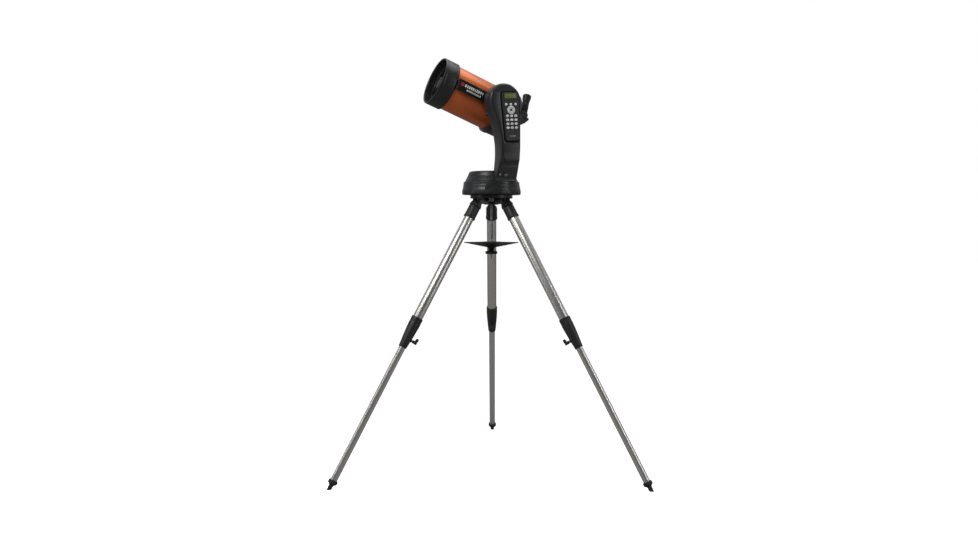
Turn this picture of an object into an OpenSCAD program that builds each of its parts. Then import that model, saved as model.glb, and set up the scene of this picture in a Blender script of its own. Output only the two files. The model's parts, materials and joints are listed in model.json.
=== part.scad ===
// Schmidt-Cassegrain telescope on a motorised single-arm mount and a steel tripod.
// The tripod's axis is the Z axis and its feet stand on the plane z = 0.

/* [Tripod] */
// Distance of each foot's tip from the tripod's axis
foot_r = 670; // [560:10:800]
// Height of the leg hinges above the floor
hinge_z = 1046; // [880:1:1255]
// Distance of the leg hinges from the tripod's axis
hinge_r = 60; // [56:1:68]
// Outside diameter of the upper leg tubes
upper_tube_d = 38.1; // [32:0.1:45.7]
// Outside diameter of the lower leg tubes
lower_tube_d = 25.4; // [21.2:0.1:30.4]
// Wall of the leg tubes
leg_wall = 1.2; // [0.8:0.1:1.6]
// Diameter of the tripod head's platform
head_d = 164; // [156:1:196]
// Length of the black sleeve at the top of each leg
sleeve_len = 53; // [45:1:63]
// Length of the collar that locks each lower tube
collar_len = 125; // [105:1:150]
// Distance from a foot's tip to the lower end of its collar
collar_at = 575; // [480:1:640]
// How far each lower tube reaches up past its collar's lower end
tube_overlap = 215; // [190:1:255]
// Height of the spreader tray's top
tray_z = 887; // [860:1:930]
// Distance of the spreader tray's lobe tips from the axis
tray_r = 118; // [98:1:122]
// Diameter of the spreader's threaded rod
rod_d = 8; // [6.7:0.1:9.6]

/* [Mount] */
// Direction of the tube and arm about the vertical, from the X axis
mount_yaw = 204.1; // [0:0.1:360]
// Outside diameter of the drive base
base_d = 228; // [222:1:272]
// Height of the fixed part of the drive base
base_h = 49.5; // [47:0.5:59]
// Height of the rotating cover above the fixed part
dome_h = 40; // [38:0.5:48]
// Height of the altitude axis above the rotating cover
arm_h = 256.5; // [250:0.5:307]
// Distance of the arm's inner face from the azimuth axis
arm_w0 = 75; // [70:0.5:80]
// Thickness of the arm at its widest
arm_t = 65; // [58:0.5:78]
// Wall of the moulded shells
shell_wall = 3; // [2.5:0.1:3.6]
// Diameter of the azimuth spindle
spindle_d = 44; // [37:0.5:52]
// Diameter of the altitude shaft
alt_shaft_d = 24; // [20:0.5:28.8]
// Diameter of the battery cover
battery_cover_d = 90; // [88:1:96]

/* [Optical tube] */
// Altitude that the tube points at
tube_alt = 21.6; // [-15:0.1:90]
// Outside diameter of the optical tube
tube_d = 174.2; // [146:0.2:209]
// Wall of the optical tube
tube_wall = 1.5; // [1:0.1:2]
// Distance from the altitude axis to the front cell's rim
front_x = 235; // [200:1:250]
// Distance from the altitude axis to the rear cell's front edge
rear_x = 17; // [14:1:24]
// Length of the front cell
front_cell_len = 59; // [50:1:70]
// Length of the rear cell
rear_cell_len = 88; // [84:1:105]
// Clear aperture of the corrector
aperture_d = 150; // [126:1:160]
// Diameter of the secondary mirror's holder
secondary_d = 48; // [40:1:58]
// Diameter of an eyepiece barrel
barrel_d = 31.7; // [26.5:0.1:38]
// Width of the dovetail bar where the saddle holds it
dovetail_w = 44; // [37:0.5:52]
// Thickness of the dovetail bar
dovetail_t = 14; // [12:0.5:16.8]
// Turn of the eyepiece away from the arm
diagonal_turn = 19.5; // [-30:0.5:60]

/* [Hand control] */
// Length of the hand control
handset_len = 180; // [150:1:186]
// Width of the hand control's top
handset_w = 70; // [64:1:74]
// Width of the hand control's bottom
handset_w_low = 58; // [50:1:62]
// Thickness of the hand control
handset_t = 24; // [20:0.5:28]
// Diameter of the round keys
round_key_d = 9.5; // [8:0.1:11.4]

/* [Hidden] */
$fn = 64;

// Clearance between pieces that move past each other
gap = 0.3;
// Radial clearance of a turning or sliding fit
run = 0.05;
// Radial clearance of a seat that doesn't move
seat = 0.1;

black = "#1d1e20";
grey = "#55585c";
steel = "#c9c4ba";
orange = "#d9531e";
white = "#e8e8e4";

REAR = 90;
LEFT = 210;
RIGHT = 330;
LEGS = [REAR, LEFT, RIGHT];
MOUNT_BOLTS = [30, 150, 270];

// Legs
leg_len = norm([foot_r - hinge_r, hinge_z]);
leg_tilt = atan((foot_r - hinge_r) / hinge_z);
upper_r = upper_tube_d / 2;
lower_r = lower_tube_d / 2;
hinge_bolt_r = 4;
tongue_half = 11.7;
tongue_r = 13.5;
sleeve_r = upper_r + 3;
sleeve_top = 24;
sleeve_end = sleeve_top + sleeve_len;
foot_len = 37;
foot_cup = 13;
guide_len = 15;
upper_seat = 55;
lock_at = 38;
lock_screw_r = 3;
lock_neck = 17;

// Tripod head
head_z = hinge_z + tongue_r + gap + 10.2;
head_floor = head_z - 10;
hub_r = 28;
hub_z = hinge_z - 14;
ear_t = 8;
ear_r = 12;
mount_bolt_at = 43;
mount_bolt_r = 4.75;
mount_knob_r = 11;
mount_bolt_reach = 10;

// Spreader
rod_end = 824;
tray_drop = 23;
tray_waist = 58;
tray_knob_r = 24;
tray_neck_r = 12;

// Drive base
base_r = base_d / 2;
base_z = head_z;
rim_h = 14;
deck_z = base_z + base_h;
dome_top = deck_z + dome_h;
dome_r0 = base_r - 11;
dome_r1 = base_r - 27;
dome_edge = 5;
deck_t = 5;
deck_r = dome_r0 - shell_wall - 2.5;
spindle_r = spindle_d / 2;
sleeve_wall = 6;
az_gear_r = 60;
az_gear_z = base_z + rim_h + 9;
az_gear_t = 8;
az_teeth = 96;
worm_r = 6;
worm_half = 12;
motor_r = 11;
motor_len = 32;
az_worm_x = az_gear_r + gap + worm_r;
battery_r = battery_cover_d / 2;
battery_y = -30;
cell_r = 7.2;
cell_len = 50;

// Arm
alt_z = dome_top + arm_h;
arm_w1 = arm_w0 + arm_t;
arm_split = arm_w0 + 31;
head_r_front = 66;
head_r_rear = 60;
head_from = -20;
arm_head_z = alt_z + 4;
waist_z = alt_z - 191;
arm_foot_z = deck_z + gap;
alt_shaft_r = alt_shaft_d / 2;
alt_boss_w = 14;
alt_gear_r = 40;
alt_gear_t = 8;
alt_gear_w = arm_w0 + 17;
alt_teeth = 60;
alt_worm_z = alt_z - alt_gear_r - gap - worm_r;
switch_z = deck_z + 24;
switch_lean = 21;

// Tube, with its own axes: X along the tube, Y towards the arm
tube_r = tube_d / 2;
saddle_t = 12.4;
saddle_r = 42;
jaw_w = 12;
bar_foot = 1.2;
bar_y0 = tube_r + bar_foot;
bar_y1 = bar_y0 + dovetail_t;
saddle_y0 = bar_y1 + gap;
saddle_y1 = saddle_y0 + saddle_t;
tube_y = arm_w0 - gap - saddle_y1;
tube_seat = 11;
front_r = tube_r + 6;
corrector_x = front_x - 35;
corrector_t = 5;
corrector_r = aperture_d / 2 + 4;
rear_r = tube_r + 10.4;
rear_end = rear_x + rear_cell_len;
back_wall = 8;
mirror_r = aperture_d / 2 + 1;
mirror_x = rear_end - 30;
baffle_r = 19;
barrel_r = barrel_d / 2;
back_len = 33;
back_r = barrel_r + 9;
elbow_r = barrel_r + 1.2;
elbow_side = elbow_r + 3;
elbow_x = rear_end + back_len + elbow_side + gap;
holder_r = barrel_r + 3;
holder_top = 42;
eyepiece_top = 130;
focus_y = -48;
focus_z = -28;
jaw_x0 = -5;
jaw_x1 = 45;
bar_slope = 0.3;
clamp_x = 20;
clamp_y = (bar_y0 + bar_y1) / 2 + 2;

// Hand control
handset_u = -20;
handset_z = alt_z - 58;
handset_lean = 4;
handset_w0 = arm_w1 + 2 - handset_t;
key_depth = 3;
key_rise = 1.4;
key_travel = 1;
display_w = 50;
display_h = 19;
display_q = handset_len / 2 - 12.5;
menu_q = handset_len / 2 - 44;
menu_pitch = 19.4;
pad_q = handset_len / 2 - 65;
pad_r = 15.5;
pad_hole_r = 5;
number_q = handset_len / 2 - 87;
number_pitch_p = 17.2;
number_pitch_q = 14.7;
number_key = [12, 8.4];

// ---------- Helpers ----------

function unit(v) = v / norm(v);

// The arc that rounds corner b between a and c
function fillet(a, b, c, r, n) =
    let (
        u = unit(a - b),
        v = unit(c - b),
        half = acos(u * v) / 2,
        centre = b + unit(u + v) * r / sin(half),
        s = b + u * r / tan(half),
        e = b + v * r / tan(half),
        a0 = atan2(s.y - centre.y, s.x - centre.x),
        a1 = atan2(e.y - centre.y, e.x - centre.x),
        sweep = (a1 - a0 + 540) % 360 - 180
    )
    [for (i = [0:n]) centre + r * [cos(a0 + sweep * i / n), sin(a0 + sweep * i / n)]];

// An outline with all its corners rounded
function rounded(pts, r, n = 4) =
    let (m = len(pts))
    [for (i = [0:m - 1]) each fillet(pts[(i + m - 1) % m], pts[i], pts[(i + 1) % m], r, n)];

function rectangle(w, h) = [[-w / 2, -h / 2], [w / 2, -h / 2], [w / 2, h / 2], [-w / 2, h / 2]];

function bezier(p, t) =
    pow(1 - t, 3) * p[0] + 3 * t * pow(1 - t, 2) * p[1]
    + 3 * t * t * (1 - t) * p[2] + pow(t, 3) * p[3];

function curve(p, n) = [for (i = [0:n]) bezier(p, i / n)];

// A gear's outline: root, tip, tip, root for each tooth
function gear_outline(teeth, tip, depth) = [
    for (i = [0:teeth - 1])
        for (k = [[0.04, 0], [0.2, 1], [0.46, 1], [0.62, 0]])
            let (a = 360 / teeth * (i + k[0]), r = tip - depth * (1 - k[1]))
            [r * cos(a), r * sin(a)]
];

module along_x() {
    rotate([0, 90, 0]) children();
}

module along_y() {
    rotate([-90, 0, 0]) children();
}

// A round tube from z0 to z1
module ring(r_out, r_in, z0, z1) {
    translate([0, 0, z0]) difference() {
        cylinder(r = r_out, h = z1 - z0);
        translate([0, 0, -1]) cylinder(r = r_in, h = z1 - z0 + 2);
    }
}

// Leg axes: origin at the hinge, -Z down the leg, +X outwards
module at_hinge(az) {
    rotate([0, 0, az]) translate([hinge_r, 0, hinge_z]) rotate([0, -leg_tilt, 0]) children();
}

// The same axes with their origin at the foot's tip
module at_foot(az) {
    at_hinge(az) translate([0, 0, -leg_len]) children();
}

// Mount axes: X the way the tube points, Y towards the arm
module at_mount() {
    rotate([0, 0, mount_yaw]) children();
}

// Tube axes: origin where the tube's axis passes the altitude axis
module at_tube() {
    at_mount() translate([0, tube_y, alt_z]) rotate([0, -tube_alt, 0]) children();
}

// Hand control axes: X across, Z along it, Y out of its face, with the origin at its back
module at_handset() {
    at_mount() translate([handset_u, handset_w0, handset_z]) rotate([0, handset_lean, 0]) children();
}

// Extrudes an outline in X and Z from y0 to y1
module slab(outline, y0, y1) {
    translate([0, y1, 0]) rotate([90, 0, 0]) linear_extrude(y1 - y0) polygon(outline);
}

// ---------- Tripod ----------

module ear(side) {
    difference() {
        union() {
            translate([hub_r - 3, side * (tongue_half + gap + ear_t / 2) - ear_t / 2, hinge_z - ear_r])
                cube([hinge_r - hub_r + 3, ear_t, head_floor - hinge_z + ear_r]);
            translate([hinge_r, side * (tongue_half + gap + ear_t / 2) - ear_t / 2, hinge_z]) {
                along_y() cylinder(r = ear_r, h = ear_t);
                cube([ear_r, ear_t, head_floor - hinge_z]);
            }
        }
        translate([hinge_r, 0, hinge_z]) along_y()
            cylinder(r = hinge_bolt_r + 0.02, h = 80, center = true);
    }
}

module tripod_head() {
    color(black) difference() {
        union() {
            ring(head_d / 2, head_d / 2 - 6, head_z - 14, head_z);
            translate([0, 0, head_floor]) cylinder(r = head_d / 2 - 5, h = 10);
            translate([0, 0, hub_z]) cylinder(r = hub_r, h = head_floor - hub_z + 1);
            for (az = LEGS)
                rotate([0, 0, az])
                    for (side = [-1, 1])
                        ear(side);
        }
        for (az = MOUNT_BOLTS)
            rotate([0, 0, az]) translate([mount_bolt_at, 0, head_floor - 1])
                cylinder(r = mount_bolt_r + gap, h = 12);
        translate([0, 0, hub_z - 1]) cylinder(r = rod_d / 2 + run, h = 20);
    }
}

module hinge_bolts() {
    reach = tongue_half + gap + ear_t;
    color(steel)
        for (az = LEGS)
            rotate([0, 0, az]) translate([hinge_r, 0, hinge_z]) along_y() {
                cylinder(r = hinge_bolt_r, h = 2 * reach + 2, center = true);
                for (end = [-1, 1])
                    translate([0, 0, end * (reach + 2.5)])
                        cylinder(r = 6.5, h = 5, center = true, $fn = 6);
            }
}

module mount_knob(az) {
    z1 = head_floor - gap;
    color(grey) rotate([0, 0, az]) translate([mount_bolt_at, 0, 0]) {
        difference() {
            translate([0, 0, z1 - 16]) cylinder(r = mount_knob_r, h = 16);
            for (i = [0:7])
                rotate([0, 0, 45 * i]) translate([mount_knob_r + 2.2, 0, z1 - 17])
                    cylinder(r = 3.4, h = 12, $fn = 24);
        }
        translate([0, 0, z1 - 1]) cylinder(r = mount_bolt_r, h = base_z + mount_bolt_reach - z1 + 1);
    }
}

module centre_rod() {
    color(steel) translate([0, 0, rod_end]) cylinder(r = rod_d / 2, h = hub_z + 18 - rod_end);
}

// Three lobes towards the legs, with narrow waists between them
function tray_outline() = [
    for (i = [0:119])
        let (
            a = 3 * i,
            lobe = pow((1 + cos(3 * (a - REAR))) / 2, 2),
            r = tray_waist + (tray_r - tray_waist) * lobe
        )
        [r * cos(a), r * sin(a)]
];

module spreader_tray() {
    color(black) difference() {
        intersection() {
            translate([0, 0, tray_z - tray_drop]) linear_extrude(tray_drop) polygon(tray_outline());
            rotate_extrude() polygon([
                [0, tray_z - tray_drop], [tray_neck_r + 2, tray_z - tray_drop],
                [tray_r + 2, tray_z - 3], [tray_r + 2, tray_z], [0, tray_z]
            ]);
        }
        translate([0, 0, tray_z - tray_drop - 1]) cylinder(r = rod_d / 2 + gap, h = tray_drop + 2);
    }
}

module tray_knob() {
    z1 = tray_z - tray_drop - gap;
    color(black) difference() {
        union() {
            translate([0, 0, z1 - 13]) cylinder(r = tray_neck_r, h = 13);
            translate([0, 0, z1 - 24]) cylinder(r = tray_knob_r, h = 11.5);
        }
        translate([0, 0, z1 - 25]) cylinder(r = rod_d / 2 + run, h = 26);
        for (i = [0:5])
            rotate([0, 0, 60 * i]) translate([tray_knob_r + 6, 0, z1 - 25])
                cylinder(r = 9, h = 14);
    }
}

module leg_bracket(az) {
    color(black) at_hinge(az) difference() {
        union() {
            translate([0, 0, -sleeve_end]) cylinder(r = sleeve_r, h = sleeve_len);
            translate([-tongue_r, -tongue_half, -sleeve_top - 1])
                cube([2 * tongue_r, 2 * tongue_half, sleeve_top + 1]);
            translate([0, -tongue_half, 0]) along_y() cylinder(r = tongue_r, h = 2 * tongue_half);
        }
        translate([0, 0, -sleeve_end - 1]) cylinder(r = upper_r + seat, h = sleeve_len - 5);
        along_y() cylinder(r = hinge_bolt_r + run, h = 60, center = true);
    }
}

module upper_tube(az) {
    z1 = leg_len - sleeve_top - 7;
    color(steel) at_foot(az)
        ring(upper_r, upper_r - leg_wall, collar_at + upper_seat, z1);
}

module lock_collar(az) {
    top = collar_at + collar_len;
    color(black) at_foot(az) difference() {
        rotate_extrude() polygon([
            [0, collar_at], [lower_r + 2.6, collar_at], [lower_r + 4.6, collar_at + 3],
            [upper_r + 1.6, collar_at + 30], [upper_r + 3.4, collar_at + upper_seat - 6],
            [upper_r + 3.4, top - 2], [upper_r + 2.4, top], [0, top]
        ]);
        translate([0, 0, collar_at - 1]) cylinder(r = lower_r + run, h = collar_len + 2);
        translate([0, 0, collar_at + upper_seat]) cylinder(r = upper_r + seat, h = collar_len);
        translate([0, 0, collar_at + lock_at]) along_x() translate([0, 0, -40])
            cylinder(r = lock_screw_r + run, h = 40);
    }
}

// A screw with a wing, on the leg's inner side
module lock_screw(az) {
    color(black) at_foot(az) translate([-lower_r - gap, 0, collar_at + lock_at])
        rotate([0, -90, 0]) {
            cylinder(r = lock_screw_r, h = lock_neck + 8);
            translate([0, 0, lock_neck - 4]) cylinder(r = 6, h = 12);
            translate([-8, -3, lock_neck + 6]) cube([26, 6, 12]);
        }
}

module lower_tube(az) {
    top = collar_at + tube_overlap;
    color(steel) at_foot(az) {
        ring(lower_r, lower_r - leg_wall, foot_len - foot_cup, top);
        ring(upper_r - leg_wall - gap, lower_r, top - guide_len, top);
    }
}

module foot(az) {
    color(black) intersection() {
        at_foot(az) rotate_extrude() polygon([
            [0, -12], [7, -12], [7.5, 6], [8.5, 13], [lower_r + 3.2, 21], [lower_r + 5.4, 29],
            [lower_r + 4.6, foot_len - 1], [lower_r + 3, foot_len], [lower_r + run, foot_len],
            [lower_r + run, foot_len - foot_cup], [0, foot_len - foot_cup]
        ]);
        translate([-foot_r - 60, -foot_r - 60, 0]) cube([2 * foot_r + 120, 2 * foot_r + 120, 120]);
    }
}

// ---------- Drive base ----------

module base_plate() {
    color(black) difference() {
        union() {
            translate([0, 0, base_z]) cylinder(r = base_r, h = rim_h, $fn = 96);
            translate([0, 0, base_z + rim_h - 1])
                cylinder(r = spindle_r, h = base_h - rim_h - 4);
        }
        for (az = MOUNT_BOLTS)
            rotate([0, 0, az]) translate([mount_bolt_at, 0, base_z - 1])
                cylinder(r = mount_bolt_r + run, h = mount_bolt_reach + 2);
    }
}

module base_housing() {
    z0 = base_z + rim_h;
    z1 = deck_z - gap;
    color(black) difference() {
        union() {
            rotate_extrude($fn = 96) polygon([
                [dome_r0 - 9, z0], [base_r, z0], [base_r - 0.8, z0 + 4], [base_r - 3, z0 + 12],
                [base_r - 5.5, z1 - 2], [base_r - 7.5, z1], [dome_r0 - 9, z1]
            ]);
            rotate([90, 0, 0]) translate([0, 0, base_r - 14]) linear_extrude(14)
                polygon([[-26, z0], [26, z0], [21, z0 + 21], [18, z0 + 24], [-18, z0 + 24], [-21, z0 + 21]]);
        }
        translate([0, 0, z0 - 1]) cylinder(r = base_r - 8.5, h = base_h - rim_h - shell_wall, $fn = 96);
    }
}

module azimuth_gear() {
    color("peru") translate([0, 0, az_gear_z]) linear_extrude(az_gear_t) difference() {
        polygon(gear_outline(az_teeth, az_gear_r, 1.8));
        circle(r = spindle_r + 0.02);
    }
}

// A worm's ridges, along Z
module worm() {
    pitch = 4;
    rotate_extrude() polygon(concat(
        [[0, -worm_half]],
        [
            for (i = [0:2 * worm_half / pitch - 1])
                for (k = [[0, 0], [1, 1], [2, 1], [3, 0]])
                    [worm_r - 1.8 * (1 - k[1]), -worm_half + pitch * i + k[0]]
        ],
        [[worm_r - 1.8, worm_half], [0, worm_half]]
    ));
}

module azimuth_worm() {
    color(steel) at_mount() translate([-az_worm_x, 0, az_gear_z + az_gear_t / 2]) along_y() worm();
}

module turntable() {
    plate_z = deck_z;
    hang_z = az_gear_z + az_gear_t + 2;
    color(grey) difference() {
        union() {
            translate([0, 0, plate_z]) cylinder(r = deck_r, h = deck_t, $fn = 96);
            translate([0, 0, hang_z])
                cylinder(r = spindle_r + sleeve_wall, h = plate_z - hang_z + 1);
        }
        translate([0, 0, hang_z - 1]) cylinder(r = spindle_r + run, h = plate_z - hang_z + 1);
    }
}

module base_dome() {
    z0 = deck_z;
    color(black) difference() {
        rotate_extrude($fn = 96) polygon([
            [0, z0], [dome_r0, z0], [dome_r0 - 1, z0 + 4], [dome_r1, dome_top - 4],
            [dome_r1 - 1.5, dome_top - 1.2], [dome_r1 - dome_edge, dome_top], [0, dome_top]
        ]);
        rotate_extrude($fn = 96) polygon([
            [0, z0 - 1], [dome_r0 - shell_wall, z0 - 1], [dome_r0 - shell_wall, z0 + 4],
            [dome_r1 - shell_wall, dome_top - shell_wall - 3],
            [dome_r1 - dome_edge - 1, dome_top - shell_wall], [0, dome_top - shell_wall]
        ]);
        at_mount() translate([0, battery_y, z0]) cylinder(r = battery_r + gap, h = dome_h + 1);
        at_mount() slab(arm_outline(gap), arm_w0 - gap, arm_w1 + 40);
    }
}

module battery_cover() {
    color(black) at_mount() translate([0, battery_y, dome_top - shell_wall]) difference() {
        cylinder(r = battery_r, h = shell_wall);
        translate([0, -battery_r + 8, shell_wall - 1]) cylinder(r = 5, h = 2);
    }
}

module battery_pack() {
    floor_z = deck_z + deck_t;
    box = [4 * 2 * cell_r + 6, cell_len + 6];
    color(grey) at_mount() translate([0, battery_y, floor_z]) {
        difference() {
            linear_extrude(12) polygon(rounded(rectangle(box[0], box[1]), 3));
            translate([0, 0, 1.5]) linear_extrude(12)
                polygon(rectangle(box[0] - 3, box[1] - 3));
        }
        for (i = [0:3])
            for (layer = [0:1])
                translate([(i - 1.5) * (2 * cell_r + 0.2), -cell_len / 2, 1.6 + cell_r + layer * 14.5])
                    along_y() cylinder(r = cell_r, h = cell_len);
    }
}

// A motor on its worm's axis, which starts where its case clears the gear's rim
module motor(gear_r) {
    start = sqrt(pow(gear_r, 2) - pow(gear_r + gap + worm_r - motor_r, 2)) + 2;
    translate([0, 0, start]) cylinder(r = motor_r, h = motor_len);
    translate([0, 0, worm_half + gap]) cylinder(r = 2, h = start - worm_half);
}

module drive_motors() {
    color(steel) at_mount() {
        translate([-az_worm_x, 0, az_gear_z + az_gear_t / 2]) along_y() motor(az_gear_r);
        translate([0, alt_gear_w + alt_gear_t / 2, alt_worm_z])
            rotate([0, -90, 0]) motor(alt_gear_r);
    }
}

// ---------- Arm ----------

// The arm from its side: X is the way the tube points, Y is up; g grows it
function arm_outline(g) =
    let (
        front_top = [
            (head_r_front + g) * cos(head_from), arm_head_z + (head_r_front + g) * sin(head_from)
        ],
        shift = [g, 0],
        front = concat(
            curve([
                [31, arm_foot_z - g] + shift, [27, arm_foot_z + 45] + shift,
                [20, waist_z - 35] + shift, [20, waist_z] + shift
            ], 6),
            curve([
                [20, waist_z] + shift, [20, waist_z + 65] + shift,
                [40, arm_head_z - 76] + shift, front_top
            ], 10)
        ),
        head = [
            for (a = [head_from:10:180])
                let (r = (head_r_front + head_r_rear) / 2 + (head_r_front - head_r_rear) / 2 * cos(a) + g)
                [r * cos(a), arm_head_z + r * sin(a)]
        ],
        rear = curve([
            [-head_r_rear, arm_head_z] - shift, [-head_r_rear, arm_head_z - 100] - shift,
            [-64, arm_foot_z + 80] - shift, [-55, arm_foot_z - g] - shift
        ], 8)
    )
    concat(
        [for (i = [0:len(front) - 2]) if (i != 7) front[i]],
        [for (i = [1:len(head) - 1]) head[i]],
        [for (i = [1:len(rear) - 1]) rear[i]]
    );

// The arm from the front: X is across it, Y is up
function arm_section(g) = [
    [arm_w0 - g, arm_foot_z - g], [arm_w0 + 29 + g, arm_foot_z - g],
    [arm_w0 + 49 + g, arm_foot_z + 52], [arm_w1 - 4 + g, arm_foot_z + 85],
    [arm_w1 + g, arm_foot_z + 130], [arm_w1 + g, alt_z + 24],
    [arm_w1 - 6 + g, alt_z + 60], [arm_w1 - 16, alt_z + 72 + g], [arm_w0 - g, alt_z + 72 + g]
];

module arm_form(g) {
    intersection() {
        slab(arm_outline(g), arm_w0 - g, arm_w1 + g);
        translate([-120, 0, 0]) rotate([90, 0, 90]) linear_extrude(240) polygon(arm_section(g));
    }
}

function handset_outline(g) = rounded([
    [-handset_w_low / 2 - g, -handset_len / 2 - g], [handset_w_low / 2 + g, -handset_len / 2 - g],
    [handset_w / 2 + g, handset_len / 2 - 30], [handset_w / 2 + g, handset_len / 2 + g],
    [-handset_w / 2 - g, handset_len / 2 + g], [-handset_w / 2 - g, handset_len / 2 - 30]
], 7 + g);

module arm_shell() {
    difference() {
        arm_form(0);
        arm_form(-shell_wall);
        translate([0, 0, deck_z - 20]) cylinder(r = deck_r + gap, h = 20 + deck_t + gap, $fn = 96);
    }
}

module arm_inner_shell() {
    color(black) at_mount() difference() {
        union() {
            intersection() {
                arm_shell();
                translate([-120, arm_w0 - 1, deck_z - 1]) cube([240, arm_split - arm_w0 + 1, 400]);
            }
            translate([0, arm_w0, alt_z]) along_y() cylinder(r = alt_shaft_r + 6, h = alt_boss_w);
        }
        translate([0, arm_w0 - 1, alt_z]) along_y()
            cylinder(r = alt_shaft_r + run, h = alt_boss_w + 2);
    }
}

module arm_outer_shell() {
    pocket_back = handset_w0 - gap - shell_wall;
    color(black) at_mount() difference() {
        union() {
            intersection() {
                arm_shell();
                translate([-120, arm_split + 0.2, deck_z - 1]) cube([240, arm_t, 400]);
            }
            intersection() {
                arm_form(0);
                handset_slab(4, pocket_back, arm_w1);
            }
        }
        handset_slab(1, handset_w0 - gap, arm_w1 + 10);
        switch_frame() cube([10.4, 12, 16.4], center = true);
    }
}

// The hand control's outline grown by g, through the arm from w0 to w1
module handset_slab(g, w0, w1) {
    translate([handset_u, 0, handset_z]) rotate([0, handset_lean, 0])
        slab(handset_outline(g), w0, w1);
}

// The sloping panel at the foot of the arm: Y out of it, Z up it
module switch_frame() {
    w = arm_w0 + 29 + (switch_z - arm_foot_z) * tan(switch_lean);
    translate([-3, w, switch_z]) rotate([-switch_lean, 0, 0]) children();
}

module power_switch() {
    color(grey) at_mount() switch_frame() intersection() {
        rotate([0, 90, 0]) cylinder(r = 7.6, h = 9.8, center = true);
        translate([0, -1, 0]) cube([9.8, 8, 20], center = true);
    }
}

module altitude_gear() {
    w1 = alt_gear_w + alt_gear_t;
    color("peru") at_tube() translate([0, -tube_y, 0]) {
        translate([0, arm_w0 - gap, 0]) along_y()
            cylinder(r = alt_shaft_r, h = w1 - arm_w0 + gap + 6);
        translate([0, w1, 0]) rotate([90, 0, 0]) linear_extrude(alt_gear_t)
            polygon(gear_outline(alt_teeth, alt_gear_r, 1.8));
    }
}

module altitude_worm() {
    color(steel) at_mount() translate([0, alt_gear_w + alt_gear_t / 2, alt_worm_z]) along_x() worm();
}

// ---------- Hand control ----------

module key_cuts() {
    for (i = [-1:1])
        translate([i * menu_pitch, 0, menu_q]) key_round(round_key_d / 2 + gap, -key_depth, 1);
    translate([0, 0, pad_q]) difference() {
        key_round(pad_r + gap, -key_depth, 1);
        key_round(pad_hole_r - gap, -key_depth - 1, 2);
    }
    for (row = [0:3])
        for (col = [-1:1])
            translate([col * number_pitch_p, 0, number_q - row * number_pitch_q])
                key_oval(gap, -key_depth, 1);
    slab([for (p = rectangle(display_w + 2 * seat, display_h + 2 * seat)) p + [0, display_q]],
        handset_t - 1.5, handset_t + 1);
}

// A round key's barrel between two depths from the face
module key_round(r, y0, y1) {
    translate([0, handset_t + y0, 0]) along_y() cylinder(r = r, h = y1 - y0);
}

module key_oval(g, y0, y1) {
    slab(rounded(rectangle(number_key[0] + 2 * g, number_key[1] + 2 * g), number_key[1] / 2 - 0.4 + g),
        handset_t + y0, handset_t + y1);
}

module hand_control() {
    color(black) at_handset() difference() {
        slab(handset_outline(0), 0, handset_t);
        key_cuts();
    }
}

module display_window() {
    color("olivedrab") at_handset()
        slab([for (p = rectangle(display_w, display_h)) p + [0, display_q]],
            handset_t - 1.5, handset_t - 0.2);
}

module menu_keys() {
    color(white) at_handset()
        for (i = [-1:1])
            translate([i * menu_pitch, 0, menu_q])
                key_round(round_key_d / 2, -key_depth + key_travel + gap, key_rise);
}

module direction_keys() {
    color(white) at_handset() translate([0, 0, pad_q]) difference() {
        key_round(pad_r, -key_depth + key_travel + gap, key_rise);
        key_round(pad_hole_r, -key_depth, key_rise + 1);
        for (a = [45, 135])
            rotate([0, a, 0]) cube([2 * pad_r + 2, 3 * handset_t, 2], center = true);
    }
}

module number_keys() {
    color(white) at_handset()
        for (row = [0:3])
            for (col = [-1:1])
                translate([col * number_pitch_p, 0, number_q - row * number_pitch_q])
                    key_oval(0, -key_depth + key_travel + gap, key_rise);
}

// ---------- Saddle and optical tube ----------

// The dovetail's section: X across it, Y out from the tube, g grows it
function dovetail_outline(g) = [
    [-dovetail_w / 2 + bar_slope * dovetail_t - g, bar_y0 - g],
    [dovetail_w / 2 - bar_slope * dovetail_t + g, bar_y0 - g],
    [dovetail_w / 2 + g, bar_y1 + g], [-dovetail_w / 2 - g, bar_y1 + g]
];

// Extrudes a section in Z and Y along the tube from x0 to x1
module along_tube(section, x0, x1) {
    translate([x0, 0, 0]) along_x() linear_extrude(x1 - x0)
        polygon([for (p = section) [-p[0], p[1]]]);
}

module saddle() {
    color(black) at_tube() difference() {
        union() {
            translate([0, saddle_y0, 0]) along_y() cylinder(r = saddle_r, h = saddle_t);
            along_tube([
                [-dovetail_w / 2 - jaw_w + 2, bar_y0 + 3], [dovetail_w / 2 + jaw_w - 2, bar_y0 + 3],
                [dovetail_w / 2 + jaw_w, saddle_y0 + 1], [-dovetail_w / 2 - jaw_w, saddle_y0 + 1]
            ], jaw_x0, jaw_x1);
        }
        along_tube(dovetail_outline(gap), jaw_x0 - 1, jaw_x1 + 1);
        translate([clamp_x, clamp_y, -60]) cylinder(r = 3 + run, h = 50);
    }
}

module clamp_knob() {
    z0 = -saddle_r - gap;
    neck = saddle_r - dovetail_w / 2 - jaw_w;
    color(black) at_tube() translate([clamp_x, clamp_y, z0]) {
        difference() {
            translate([0, 0, -18]) cylinder(r = 12, h = 18);
            for (i = [0:5])
                rotate([0, 0, 60 * i]) translate([14.5, 0, -19]) cylinder(r = 4.5, h = 14, $fn = 24);
        }
        cylinder(r = 5, h = neck);
        cylinder(r = 3, h = saddle_r - dovetail_w / 2);
    }
}

module dovetail_bar() {
    color(black) at_tube() difference() {
        along_tube(dovetail_outline(0), -rear_x + 2, front_x - front_cell_len - 1);
        for (x = [0, front_x - front_cell_len - 14])
            translate([x, bar_y1 - 3, 0]) along_y() cylinder(r = 5, h = 5);
    }
}

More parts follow.
